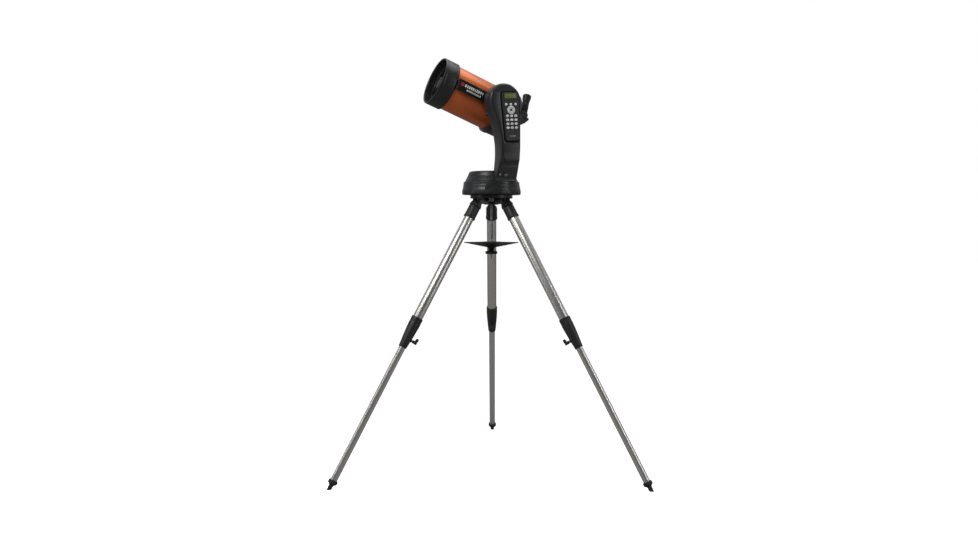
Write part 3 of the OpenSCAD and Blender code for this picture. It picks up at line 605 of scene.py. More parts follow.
def lathe_pattern():
    """Fine turning marks round Z."""
    tree, given, out = shader_group("turning marks", {"Size": 0.0005}, ("Height", "Shade"))
    scale = maths(tree, "DIVIDE", 1.0, given["Size"])
    split = add(tree, "ShaderNodeSeparateXYZ", {"Vector": given["Place"]})
    flat = maths(tree, "POWER", maths(tree, "ADD",
                 maths(tree, "MULTIPLY", split.outputs["X"], split.outputs["X"]),
                 maths(tree, "MULTIPLY", split.outputs["Y"], split.outputs["Y"])), 0.5)
    ring = add(tree, "ShaderNodeCombineXYZ", {"X": flat, "Z": split.outputs["Z"]})
    marks = add(tree, "ShaderNodeTexNoise", {
        "Vector": ring.outputs[0], "Scale": scale, "Detail": 2.0, "Roughness": 0.6})
    tree.links.new(marks.outputs["Fac"], out["Height"])
    tree.links.new(spread(tree, marks.outputs["Fac"], 0.3, 0.7), out["Shade"])
    return tree


PATTERNS = {
    "grain": grain_pattern(), "wear": wear_pattern(),
    "drawn": brushed_pattern(), "lathe": lathe_pattern(),
}


# ---------- Finishes ----------

def shade(colour, factor):
    return tuple(min(1.0, c * factor) for c in colour[:3]) + (1.0,)


def blend_colour(tree, factor, a, b):
    mix = tree.nodes.new("ShaderNodeMix")
    mix.data_type = "RGBA"
    sockets = [s for s in mix.inputs if s.type == "RGBA"]
    for socket, value in ((mix.inputs[0], factor), (sockets[0], a), (sockets[1], b)):
        if isinstance(value, bpy.types.NodeSocket):
            tree.links.new(value, socket)
        else:
            socket.default_value = value
    return next(s for s in mix.outputs if s.type == "RGBA")


def start_finish(name, own):
    """A material's tree, its shader, and where on the piece a pattern lies."""
    material = bpy.data.materials.new(name)
    material.use_nodes = True
    tree = material.node_tree
    shader = next(n for n in tree.nodes if n.type == "BSDF_PRINCIPLED")
    if own:
        place = add(tree, "ShaderNodeAttribute", attribute_name="own").outputs["Vector"]
    else:
        place = add(tree, "ShaderNodeTexCoord").outputs["Object"]
    return material, tree, shader, place


def pattern(tree, kind, place, size):
    made = tree.nodes.new("ShaderNodeGroup")
    made.node_tree = PATTERNS[kind]
    tree.links.new(place, made.inputs["Place"])
    made.inputs["Size"].default_value = size
    return made.outputs


def finish(name, colour, rough, own=True, texture="grain", size=0.0006, depth=0.00004, metal=0.0,
           tint=0.12, dust=0.10, worn=None, scratches=0.05, polish=0.14):
    """A solid finish: a fine texture, smudges in its gloss, dust and scratches."""
    material, tree, shader, place = start_finish(name, own)
    fine = pattern(tree, texture, place, size)
    wear = pattern(tree, "wear", place, 0.05)
    base = blend_colour(tree, fine["Shade"], shade(colour, 1 - tint), shade(colour, 1 + tint))
    base = blend_colour(tree, maths(tree, "MULTIPLY", wear["Dust"], dust), base, (0.5, 0.48, 0.45, 1))
    marks = maths(tree, "MULTIPLY", wear["Scratch"], scratches)
    base = blend_colour(tree, marks, base, shade(worn or colour, 1.0 if worn else 1.9))
    tree.links.new(base, shader.inputs["Base Color"])
    gloss = spread(tree, wear["Smudge"], 0.0, 1.0, rough - polish / 2, rough + polish / 2)
    gloss = maths(tree, "ADD", gloss, maths(tree, "MULTIPLY", wear["Dust"], 0.2))
    tree.links.new(gloss, shader.inputs["Roughness"])
    bump = add(tree, "ShaderNodeBump", {"Height": fine["Height"], "Strength": 0.6, "Distance": depth})
    tree.links.new(bump.outputs[0], shader.inputs["Normal"])
    shader.inputs["Metallic"].default_value = metal
    return material


def orange_paint(name, colour):
    """Metallic copper-orange under a clear lacquer: fine flakes, and a darker coat between them."""
    material, tree, shader, place = start_finish(name, True)
    flakes = add(tree, "ShaderNodeTexVoronoi", {"Vector": place, "Scale": 2600.0})
    glitter = add(tree, "ShaderNodeSeparateColor", {"Color": flakes.outputs["Color"]}).outputs[0]
    wear = pattern(tree, "wear", place, 0.09)
    base = blend_colour(tree, glitter, shade(colour, 0.8), shade(colour, 1.08))
    base = blend_colour(tree, maths(tree, "MULTIPLY", wear["Dust"], 0.06), base, (0.5, 0.45, 0.4, 1))
    tree.links.new(base, shader.inputs["Base Color"])
    tree.links.new(spread(tree, glitter, 0.0, 1.0, 0.34, 0.5), shader.inputs["Roughness"])
    tree.links.new(spread(tree, glitter, 0.0, 1.0, 0.35, 0.6), shader.inputs["Metallic"])
    peel = add(tree, "ShaderNodeTexNoise", {"Vector": place, "Scale": 420.0, "Detail": 1.0})
    bump = add(tree, "ShaderNodeBump", {
        "Height": peel.outputs["Fac"], "Strength": 0.25, "Distance": 0.00003})
    tree.links.new(bump.outputs[0], shader.inputs["Normal"])
    shader.inputs["Coat Weight"].default_value = 0.35
    shader.inputs["Coat Roughness"].default_value = 0.12
    return material


def coated_glass(name, own=True):
    """Clear optical glass with a faint coating and a little dust."""
    material, tree, shader, place = start_finish(name, own)
    wear = pattern(tree, "wear", place, 0.03)
    base = blend_colour(tree, wear["Dust"], (0.93, 0.98, 0.97, 1), (0.75, 0.78, 0.78, 1))
    tree.links.new(base, shader.inputs["Base Color"])
    tree.links.new(spread(tree, wear["Smudge"], 0.0, 1.0, 0.0, 0.03), shader.inputs["Roughness"])
    shader.inputs["Transmission Weight"].default_value = 1.0
    shader.inputs["IOR"].default_value = 1.45
    return material


def mirror_finish(name, own=True):
    material, tree, shader, place = start_finish(name, own)
    wear = pattern(tree, "wear", place, 0.04)
    base = blend_colour(tree, wear["Dust"], (0.93, 0.94, 0.95, 1), (0.7, 0.7, 0.7, 1))
    tree.links.new(base, shader.inputs["Base Color"])
    tree.links.new(spread(tree, wear["Smudge"], 0.0, 1.0, 0.01, 0.05), shader.inputs["Roughness"])
    shader.inputs["Metallic"].default_value = 1.0
    return material


def crystal_display(name):
    """A yellow-green display: rows of dark cells behind a glossy window."""
    material, tree, shader, place = start_finish(name, True)
    split = add(tree, "ShaderNodeSeparateXYZ", {"Vector": place})
    columns = maths(tree, "PINGPONG", split.outputs["X"], 0.00032)
    rows = maths(tree, "PINGPONG", split.outputs["Y"], 0.00036)
    grid = maths(tree, "MAXIMUM", spread(tree, columns, 0.00004, 0.00009, 1.0, 0.0),
                 spread(tree, rows, 0.00004, 0.00009, 1.0, 0.0))
    glow = add(tree, "ShaderNodeTexNoise", {"Vector": place, "Scale": 45.0, "Detail": 1.0})
    lit = blend_colour(tree, glow.outputs["Fac"], (0.105, 0.155, 0.02, 1), (0.20, 0.27, 0.035, 1))
    base = blend_colour(tree, maths(tree, "MULTIPLY", grid, 0.25), lit, (0.09, 0.13, 0.02, 1))
    tree.links.new(base, shader.inputs["Base Color"])
    wear = pattern(tree, "wear", place, 0.02)
    tree.links.new(spread(tree, wear["Smudge"], 0.0, 1.0, 0.4, 0.5), shader.inputs["Roughness"])
    shader.inputs["Coat Weight"].default_value = 0.1
    shader.inputs["Coat Roughness"].default_value = 0.2
    return material


def slot_colour(slot):
    """A material slot's own colour in the record."""
    found = next(m for m in frame["record"]["materials"] if m["slot"] == slot)
    return tuple(found["base_color"][:3])


def finishes(own):
    """Every finish, for pieces with their own axes, or for nodes on Object coordinates. A dark
    share brings a painted or moulded black down to how it looks beside the bright steel."""
    tag = "" if own else " inside"
    lathe = {"texture": "lathe", "depth": 0.00002, "metal": 1.0}
    solid = {
        "cast_black": dict(dark=0.55, rough=0.42, size=0.0011, depth=0.00012, worn=(0.25, 0.25, 0.26)),
        "zinc_steel": dict(lathe, rough=0.3, size=0.0003),
        "knob_grey": dict(rough=0.5),
        "moulded_black": dict(dark=0.55, rough=0.46, size=0.0008, depth=0.00006),
        "stainless": dict(rough=0.36, texture="drawn", size=0.004, depth=0.0, metal=1.0, tint=0.04,
                          dust=0.03, scratches=0.02, polish=0.03),
        "foot_rubber": dict(rough=0.72, size=0.0013, depth=0.0001, dust=0.3),
        "shell_plastic": dict(dark=0.55, rough=0.36, size=0.0007, tint=0.08, dust=0.05, polish=0.05),
        "gear_brass": dict(lathe, rough=0.32, size=0.0004),
        "turned_aluminium": dict(lathe, rough=0.36, size=0.0005),
        "holder_grey": dict(rough=0.5),
        "switch_plastic": dict(rough=0.22),
        "cell_paint": dict(dark=0.55, rough=0.38, worn=(0.3, 0.3, 0.31), scratches=0.08),
        "handset_plastic": dict(dark=0.55, rough=0.48, size=0.0005),
        "key_white": dict(rough=0.5, size=0.0004, tint=0.03, dust=0.2, worn=(0.5, 0.49, 0.46),
                          scratches=0.2),
        "anodised_black": dict(lathe, rough=0.3, size=0.0004, metal=0.6, worn=(0.6, 0.6, 0.62),
                               scratches=0.15),
        "baffle_black": dict(rough=0.8, size=0.0004),
        "knob_rubber": dict(rough=0.6),
    }
    made = {}
    for slot, look in solid.items():
        colour = shade(slot_colour(slot), look.pop("dark", 1.0))
        made[slot] = finish(slot.replace("_", " ") + tag, colour, own=own, **look)
    made["tube_orange"] = orange_paint("tube orange" + tag, slot_colour("tube_orange"))
    made["corrector_glass"] = coated_glass("corrector glass" + tag, own)
    made["mirror_coat"] = mirror_finish("mirror coat" + tag, own)
    made["display_green"] = crystal_display("display green" + tag)
    return made


OWN = finishes(True)
INSIDE = finishes(False)
PRINT_WHITE = finish("label print white", (0.8, 0.8, 0.78), 0.4, size=0.0004, depth=0.00001)
PRINT_RED = finish("label print red", (0.55, 0.03, 0.02), 0.4, size=0.0004, depth=0.00001)
LEGEND_GREY = finish("key legend grey", (0.09, 0.09, 0.1), 0.5, size=0.0004, depth=0.00001)
DARK_GLASS = finish("dark window", (0.012, 0.013, 0.014), 0.12, size=0.001, depth=0.000005)
BLACK_STEEL = finish("blackened steel", (0.06, 0.06, 0.065), 0.42, texture="lathe", size=0.0003,
                     depth=0.00002, metal=0.8)

for subpart in frame["record"]["subparts"]:
    node = frame["nodes"][subpart["node"]]
    for slot in node.material_slots:
        slot.material = INSIDE[subpart["material_slot"]]


# ---------- Tripod ----------

def leg_axes(leg):
    """Z up the leg, X outwards, with the origin at its hinge."""
    hinge = pivot(leg + "_leg_fold")
    outward = Vector((hinge.x, hinge.y, 0))
    return axes(hinge, -way(leg + "_leg_extend"), outward)


def leg_sleeve(leg, place):
    """The moulded bracket at the top of a leg: a sleeve, a shoulder and a tongue for the hinge."""
    node = leg + "_bracket"
    low, high = reach(node, place)
    radius = girth(node, place, low, low + 5)
    tube = girth(leg + "_upper_tube", place)
    body = turned([
        (0, low + 47), (tube + 0.2, low + 47), (tube + 0.2, low), (radius + 1.2, low),
        (radius + 1.2, low + 6), (radius, low + 8), (radius, low + 46), (high + 3, low + 56), (0, low + 56),
    ], ease=1.4)
    shoulder = low + 50
    side = radius - 1
    outline = [(-side, shoulder), (side, shoulder), (side, shoulder + 7), *arc(high, 0, 180, 16),
               (-side, shoulder + 7)]
    half = high - TONGUE_CHEEK
    tongue = placed(pressed(outline, -half, half, ease=1.6), turn=90, about="X")
    bolt = rod(4.05, -40, 40, 32)
    placed(bolt, turn=90, about="X")
    whole = carved(welded(body, tongue), bolt)
    piece(leg + "_leg_sleeve", whole, place, leg + "_leg", "moulded_black", [node])


def tube_size(node, place):
    """A leg tube's outer and inner radius at its lower end."""
    low = reach(node, place)[0]
    return girth(node, place, low, low + 30), bore(node, place, low, low + 30)


def leg_tube(leg, place, part, body):
    """A steel tube. The lower one has a guide bush at its top, which runs in the upper one."""
    node = f"{leg}_{part}_tube"
    low, high = reach(node, place)
    radius, inner = tube_size(node, place)
    bush = girth(node, place)
    profile = [(inner, low), (radius, low)]
    if bush > radius + 1:
        profile += [(radius, high - 28), (bush, high - 26), (bush, high - 2), (bush - 2, high)]
    else:
        profile.append((radius, high))
    shell = turned(profile + [(inner, high)], ease=0.35)
    piece(f"{leg}_{part}_leg_tube", shell, place, body, "stainless", [node])


def leg_collar(leg, place):
    """The moulded collar that holds the upper tube and clamps the lower one."""
    node = leg + "_collar"
    low, high = reach(node, place)
    lower = tube_size(leg + "_lower_tube", place)[0] + 0.05
    upper = girth(leg + "_upper_tube", place) + 0.1
    seat = reach(leg + "_upper_tube", place)[0]
    radius = girth(node, place, high - 10, high)
    profile = [
        (lower, low), (lower + 1.6, low), (lower + 2.9, low + 2.5), (radius - 4.4, low + 30),
        (radius - 2.0, low + 60), (radius - 0.3, low + 92), (radius, high - 22),
    ]
    for i in range(3):
        base = high - 21 + 5 * i
        profile += [(radius - 0.9, base), (radius - 0.9, base + 1.6), (radius, base + 2.6),
                    (radius, base + 4)]
    profile += [(radius, high - 2), (radius - 1.2, high), (upper, high), (upper, seat), (lower, seat)]
    body = turned(profile, ease=0.7)
    lock = axes(pivot(leg + "_lock_turn"), lock_way(leg), place.col[2].xyz)
    depth = (place.inverted() @ lock.translation)[2] / MM
    boss = turned([(0, lower + 1), (8, lower + 1), (7, radius - 1), (0, radius - 1)], steps=40, ease=1.0)
    placed(boss, z=depth, turn=-90, about="Y")
    hole = rod(3.1, lower - 4, 60, 24)
    placed(hole, z=depth, turn=-90, about="Y")
    whole = carved(welded(body, boss), hole)
    piece(leg + "_leg_collar", whole, place, leg + "_leg", "moulded_black", [node])


def lock_way(leg):
    """The direction from a leg's centre out along its lock screw."""
    direction = way(leg + "_lock_turn")
    place = leg_axes(leg)
    sides = points(leg + "_lock", place)
    centre = sum(sides, Vector()) / len(sides)
    outwards = place.to_3x3() @ Vector((centre.x, centre.y, 0))
    return direction if direction.dot(outwards) > 0 else -direction


def leg_lock(leg, place):
    """The winged screw that clamps the lower tube."""
    node = leg + "_lock"
    screw = axes(pivot(leg + "_lock_turn"), lock_way(leg), place.col[2].xyz)
    low, high = reach(node, screw)
    front = reach(node, screw, 0)[1]
    half = 3.0
    stem = turned([(0, low), (2.9, low), (2.9, high - 22), (6, high - 21), (6, high - 6), (0, high - 5)],
                  steps=40, ease=0.8)
    wing = pressed(rounded([
        (-6.5, high - 10), (-4, high - 12), (0, high - 14), (front - 6, high - 12.5), (front, high - 10),
        (front, high - 3), (front - 6, high), (4, high - 2.5), (-4, high - 2), (-6.5, high - 4),
    ], 3.0), -half, half, ease=1.5)
    placed(wing, turn=90, about="X")
    piece(leg + "_leg_lock", welded(stem, wing), screw, leg + "_lock", "moulded_black", [node])


def leg_foot(leg, place):
    """The rubber foot: a flanged cup on the lower tube and a ribbed stem, cut flat on the floor."""
    node = leg + "_foot"
    high = reach(node, place)[1]
    tip = -pivot(leg + "_leg_fold").z / MM / place.col[2].z
    tube = tube_size(leg + "_lower_tube", place)[0] + 0.05
    socket = reach(leg + "_lower_tube", place)[0]
    profile = [(0, tip - 12), (7, tip - 12), (7.4, tip + 5), (8.2, tip + 7), (8.2, tip + 8.6),
               (7.7, tip + 10), (8.6, tip + 17), (10.5, tip + 20), (tube + 2.4, tip + 23),
               (tube + 4.4, tip + 25.5), (tube + 4.9, tip + 28), (tube + 4.6, high - 3), (tube + 3.4, high),
               (tube, high), (tube, socket), (0, socket)]
    body = turned(profile, ease=1.0)
    laid(body, place)
    sliced(body, (0, 0, 0), (0, 0, 1), keep_below=False)
    laid(body, place.inverted())
    piece(leg + "_rubber_foot", body, place, leg + "_extension", "foot_rubber", [node])


def tripod_casting():
    """The tripod's head: a rimmed platform, a hub and six ears for the leg hinges, with webs."""
    node = "tripod_head"
    low, high = reach(node, FLOOR)
    radius = girth(node, FLOOR, high - 10, high)
    hub = girth(node, FLOOR, low, low + 0.5)
    hinge_z = pivot("rear_leg_fold").z / MM
    hinge_r = Vector(pivot("rear_leg_fold").xy).length / MM
    floor_z = high - 10
    body = turned([
        (0, low), (hub, low), (hub, floor_z - 3), (hub + 4, floor_z), (radius - 6, floor_z),
        (radius - 6, high - 14), (radius, high - 14), (radius, high - 1), (radius - 1, high), (0, high),
    ], ease=0.9)
    tongue = reach("rear_bracket", leg_axes("rear"))[1] - TONGUE_CHEEK
    ear_r, thick = 12, 8
    ears = []
    for leg in LEGS:
        hinge = pivot(leg + "_leg_fold")
        angle = math.degrees(math.atan2(hinge.y, hinge.x))
        for side in (-1, 1):
            outline = [(hub - 5, floor_z + 4), (hub - 5, hinge_z - ear_r),
                       *arc(ear_r, -90, 0, 12, hinge_r, hinge_z), (hinge_r + ear_r, floor_z + 4)]
            ear = pressed(outline, -thick / 2, thick / 2, ease=1.2)
            placed(ear, y=side * (tongue + 0.3 + thick / 2), turn=90, about="X")
            ears.append(placed(ear, turn=angle))
    body = welded(body, *ears)
    piece("tripod_platform", body, FLOOR, "tripod", "cast_black", [node])


def hinge_hardware():
    """A bolt, a washer and a nut at each leg's hinge."""
    place_all = []
    reach_side = reach("rear_bracket", leg_axes("rear"))[1] + 12
    for leg in LEGS:
        place = axes(pivot(leg + "_leg_fold"), way(leg + "_leg_fold"), UP)
        shaft = rod(4, -reach_side + 3, reach_side - 3, 32)
        parts = [shaft]
        for end in (-1, 1):
            hexagon = pressed(arc(6.5, 0, 300, 5), reach_side - 5, reach_side, ease=0.7)
            washer = rod(8.2, reach_side - 5.6, reach_side - 4.6, 32, ease=0.2)
            for part in (hexagon, washer):
                if end < 0:
                    placed(part, turn=180, about="X")
                parts.append(part)
        place_all.append(laid(gathered(*parts), place))
    piece("hinge_hardware", gathered(*place_all), FLOOR, "tripod", "zinc_steel", ["hinge_bolts"],
          material=BLACK_STEEL)


def mount_knobs():
    """Three fluted knobs under the platform, with the bolts that hold the base."""
    for side in ("front", "left", "right"):
        node = "mount_knob_" + side
        place = axes(pivot(node + "_turn"), UP, Vector((1, 0, 0)))
        low, high = reach(node, place)
        radius = girth(node, place, low, low + 16)
        knob = turned([(0, low), (radius - 2, low), (radius, low + 1.6), (radius, low + 14.5),
                       (radius - 1.4, low + 16), (0, low + 16)], steps=128, ease=0.8,
                      shape=fluted(8, 1.5, radius - 1.5))
        bolt = rod(4.75, low + 15, high, 32, ease=0.5)
        piece(side + "_base_knob", welded(knob, bolt), place, node, "knob_grey", [node])


def spreader():
    """The threaded rod, the three-lobed tray and the knob below it."""
    low, high = reach("centre_rod", FLOOR)
    rod = girth("centre_rod", FLOOR)
    pitch = 1.6
    thread = grown("thread", OWN["zinc_steel"], Length=(high - low) * 0.999, Core_Radius=rod - 0.55,
                   Ridge=0.62, Turns=(high - low) / pitch)
    piece("spreader_rod", placed(thread, z=low), FLOOR, "tripod", "zinc_steel", ["centre_rod"])

    low, high = reach("spreader_tray", FLOOR)
    tip = girth("spreader_tray", FLOOR)
    waist = 58.0
    first = math.atan2(pivot("rear_leg_fold").y, pivot("rear_leg_fold").x)

    def lobed(r, z, angle):
        lobe = ((1 + math.cos(LOBES * (angle - first))) / 2) ** 2
        edge = waist + (tip - waist) * lobe
        share = max(0.0, (r - 14) / (tip - 14))
        return (14 + (edge - 14) * share if r > 14 else r), z

    plate = turned([
        (4.3, low), (13, low), (14, low + 1), (40, low + 8.6), (75, low + 15.5), (tip - 4, high - 3.6),
        (tip, high - 2.6), (tip, high), (tip - 3, high), (tip - 5, high - 1.6), (40, high - 1.6),
        (22, high - 1.6), (20, high - 0.2), (4.3, high - 0.2),
    ], steps=180, ease=0.7, shape=lobed)
    ribs = []
    for i in range(LOBES):
        outline = [(12, low + 1.0), (tip - 10, high - 4.4), (tip - 10, high - 3), (12, high - 6)]
        rib = pressed(outline, -1.5, 1.5, ease=0.6)
        placed(rib, turn=90, about="X")
        ribs.append(placed(rib, turn=math.degrees(first) + 360 / LOBES * i))
    piece("eyepiece_tray", gathered(plate, *ribs), FLOOR, "tray", "moulded_black", ["spreader_tray"])

    low, high = reach("tray_knob", FLOOR)
    radius = girth("tray_knob", FLOOR)
    neck = girth("tray_knob", FLOOR, high - 1, high)
    knob = turned([(4.05, low), (radius - 3, low), (radius, low + 2.4), (radius, low + 9.4),
                   (radius - 2, low + 11.5), (neck + 1, low + 11.5), (neck, low + 13), (neck, high),
                   (4.05, high)], steps=144, ease=0.9, shape=fluted(6, 2.8, neck + 1, power=1.5))
    piece("tray_clamp_knob", knob, FLOOR, "tray_knob", "moulded_black", ["tray_knob"])


for leg_name in LEGS:
    leg_place = leg_axes(leg_name)
    leg_sleeve(leg_name, leg_place)
    leg_tube(leg_name, leg_place, "upper", leg_name + "_leg")
    leg_tube(leg_name, leg_place, "lower", leg_name + "_extension")
    leg_collar(leg_name, leg_place)
    leg_lock(leg_name, leg_place)
    leg_foot(leg_name, leg_place)
tripod_casting()
hinge_hardware()
mount_knobs()
spreader()


# ---------- Drive base ----------

def drive_base():
    """The fixed lower half of the drive base: a plate, a grooved skirt and a front boss."""
    low, high = reach("base_plate", FLOOR)
    radius = girth("base_plate", FLOOR)
    rim = reach("base_housing", FLOOR)[0]
    plate = turned([(0, low), (radius - 3, low), (radius, low + 2.4), (radius, rim - 0.8),
                    (radius - 1, rim - 0.2), (0, rim - 0.2)], steps=160, ease=0.8)
    notches = []
    for i in range(24):
        notch = pressed(box_outline(9, 7, 0, low + 5), radius - 2.2, radius + 4, ease=0)
        placed(notch, turn=90, about="X")
        notches.append(placed(notch, turn=15 * i))
    plate = carved(plate, gathered(*notches))
    piece("base_rim", plate, FLOOR, "tripod", "cast_black", ["base_plate"])
    spindle = girth("base_plate", FLOOR, high - 1, high)
    post = rod(spindle, rim - 1, high, ease=0.6)
    piece("azimuth_spindle", post, FLOOR, "tripod", "turned_aluminium")

    low, high = reach("base_housing", FLOOR)
    top = girth("base_housing", FLOOR, high - 0.5, high)
    profile = [(radius - 9, low), (radius, low), (radius - 0.6, low + 4), (radius - 2.4, low + 11)]
    for height in (13.0, 24.5):
        r = radius - 3 - (height - 13) * 0.16
        profile += [(r, low + height), (r - 0.6, low + height + 0.4), (r - 0.6, low + height + 1.0),
                    (r - 0.1, low + height + 1.4)]
    profile += [(top + 1.8, high - 1.6), (top, high), (radius - 18, high), (radius - 18, high - 3),
                (radius - 9, high - 4)]
    skirt = turned(profile, steps=160, ease=0.45)
    bosses = []
    for wide, deep, lift in ((26, 0.6, 0), (20.5, 1.1, 2.5)):
        outline = rounded([(-wide, low + lift), (wide, low + lift), (wide - 6, low + 21 - lift * 0.2),
                           (wide - 9, low + 24 - lift), (9 - wide, low + 24 - lift),
                           (6 - wide, low + 21 - lift * 0.2)], 2.0)
        boss = pressed(outline, radius - 14, radius + deep, ease=0.8)
        placed(boss, turn=90, about="X")
        for v in boss.verts:
            if v.co.y < -radius + 8:
                v.co.y += radius - math.sqrt(radius ** 2 - v.co.x ** 2)
                v.co.y += max(0.0, v.co.z - low) * 0.10
        bosses.append(boss)
    piece("base_skirt", welded(skirt, *bosses), FLOOR, "tripod", "shell_plastic", ["base_housing"],
          crease=14)


def drive_cover():
    """The rotating cover of the base, with a seam and an opening for the battery cover."""
    low, high = reach("base_dome", MOUNT)
    foot = girth("base_dome", MOUNT, low, low + 0.5)
    top = girth("base_dome", MOUNT, high - 4.5, high - 3.5)
    offset = [sum(reach("battery_cover", MOUNT, side)) / 2 for side in (0, 1)]
    lid = moved(axes((0, 0, 0), UP, MOUNT.col[0].xyz), *offset)
    hole = girth("battery_cover", lid)
    profile = [(0, high), (top - 7, high), (top - 1.6, high - 1.4), (top, high - 4.5),
               (top + 6.2, high - 18.5), (top + 5.2, high - 19.1), (top + 5.7, high - 20.3),
               (top + 7.0, high - 20.6), (foot - 1.6, low + 5), (foot, low + 2), (foot, low),
               (foot - 3, low), (foot - 4, low + 5), (top - 3.4, high - 7), (top - 8, high - 3),
               (0, high - 3)]
    shell = turned(profile, steps=160, ease=1.0)
    well = turned([(0, high - 12), (hole + 0.3, high - 12), (hole + 0.3, high - 0.9),
                   (hole + 1.4, high + 0.2), (hole + 1.4, high + 9), (0, high + 9)], steps=96, ease=0)
    placed(well, *offset)
    arm_hole = stood_up(pressed(arm_outline(0.35, 8), ARM_INNER - 0.35, ARM_OUTER, ease=0))
    piece("drive_cover", carved(shell, well, arm_hole), MOUNT, "mount", "shell_plastic", ["base_dome"],
          crease=14)

    disc = turned([(0, high - 3), (hole, high - 3), (hole, high - 0.9), (hole - 1, high - 0.1),
                   (hole - 8, high - 0.1), (hole - 9, high - 0.6), (0, high - 0.6)], steps=96, ease=0.3)
    finger = turned([(0, high - 2.2), (3.8, high - 1.6), (5, high), (5.4, high + 2), (0, high + 2)],
                    steps=40, ease=0.4)
    placed(finger, y=8 - hole)
    ridges = []
    for i in range(5):
        ridge = pressed(rounded(box_outline(22 - abs(i - 2) * 3, 1.5, 0, 22 - hole + 3.6 * i), 0.7),
                        high - 1, high - 0.05, ease=0.3)
        ridges.append(ridge)
    piece("battery_lid", gathered(carved(disc, finger), *ridges), lid, "battery_cover", "shell_plastic",
          ["battery_cover"])


# ---------- Arm ----------

ARM_LOW = reach("arm_inner_shell", MOUNT)[0]
ARM_INNER, ARM_SEAM = reach("arm_inner_shell", MOUNT, 1)
ARM_OUTER = reach("arm_outer_shell", MOUNT, 1)[1]
ARM_BACK, ARM_FRONT = reach("arm_outer_shell", MOUNT, 0)
AXIS_Z = ALTITUDE.z / MM
HEAD_Z = AXIS_Z + 4


def carried(bm, source, target):
    """A solid built in one set of axes, given in another."""
    return laid(bm, target.inverted() @ source)


def arm_outline(grow=0.0, below=0.0):
    """The arm from its side: X is the way the tube points, and Y is up."""
    foot = ARM_LOW - below
    waist = AXIS_Z - 191
    r_front, r_rear = ARM_FRONT, 60.0
    start = math.radians(-20)
    front_top = (r_front * math.cos(start), HEAD_Z + r_front * math.sin(start))
    outline = bezier((31, foot), (27, foot + 45), (20, waist - 35), (20, waist), 9)
    outline += bezier((20, waist), (20, waist + 65), (40, HEAD_Z - 76), front_top, 16)[1:]
    steps = 40
    for i in range(1, steps + 1):
        angle = start + (math.pi - start) * i / steps
        r = (r_front + r_rear) / 2 + (r_front - r_rear) / 2 * math.cos(angle)
        outline.append(Vector((r * math.cos(angle), HEAD_Z + r * math.sin(angle))))
    outline += bezier((-r_rear, HEAD_Z), (-r_rear, HEAD_Z - 100), (-64, foot + 80), (-55, foot), 16)[1:]
    return inset(outline, -grow) if grow else outline


def arm_outer(height):
    """How far out the arm's outer face stands at a height."""
    steps = (
        (ARM_LOW, ARM_INNER + 29), (ARM_LOW + 52, ARM_INNER + 49), (ARM_LOW + 85, ARM_OUTER - 4),
        (ARM_LOW + 130, ARM_OUTER), (AXIS_Z + 24, ARM_OUTER), (AXIS_Z + 60, ARM_OUTER - 6),
        (AXIS_Z + 72, ARM_OUTER - 14),
    )
    if height <= steps[0][0]:
        return steps[0][1]
    for (z0, w0), (z1, w1) in zip(steps, steps[1:]):
        if height <= z1:
            t = (height - z0) / (z1 - z0)
            return w0 + (w1 - w0) * (t if w1 - w0 > 15 else t * t * (3 - 2 * t))
    return steps[-1][1]


def groove_tool():
    """The shallow decorative groove below the hand control."""
    path = [Vector(p) for p in (
        (ARM_FRONT - 47, AXIS_Z - 150), (ARM_FRONT - 56, AXIS_Z - 200), (ARM_FRONT - 66, AXIS_Z - 234),
        (ARM_BACK - 6, AXIS_Z - 214),
    )]
    right, left = Vector((1.2, 0)), Vector((-1.2, 0))
    ridge = [path[0] + right, path[1] + right, path[2] + right - Vector((0, 1.4)),
             path[3] - Vector((0, 1.4)), path[3] + Vector((0, 1.0)), path[2] + left + Vector((0, 1.0)),
             path[1] + left, path[0] + left]
    return pressed(ridge, ARM_OUTER - 2.0, ARM_OUTER + 6, ease=0)


def finger_notch():
    """A tapered hollow below the hand control, to lift it out by."""
    low = reach("hand_control", HANDSET, 1)[0]

    def scoop(size):
        wide, deep = size
        return rounded([(-wide, low + 4), (-1, low - deep), (1, low - deep), (wide, low + 4)], 1.0, 2)

    return stacked(scoop, (((3, 4), 14), ((7, 11), 21.6), ((9, 14), 24)))


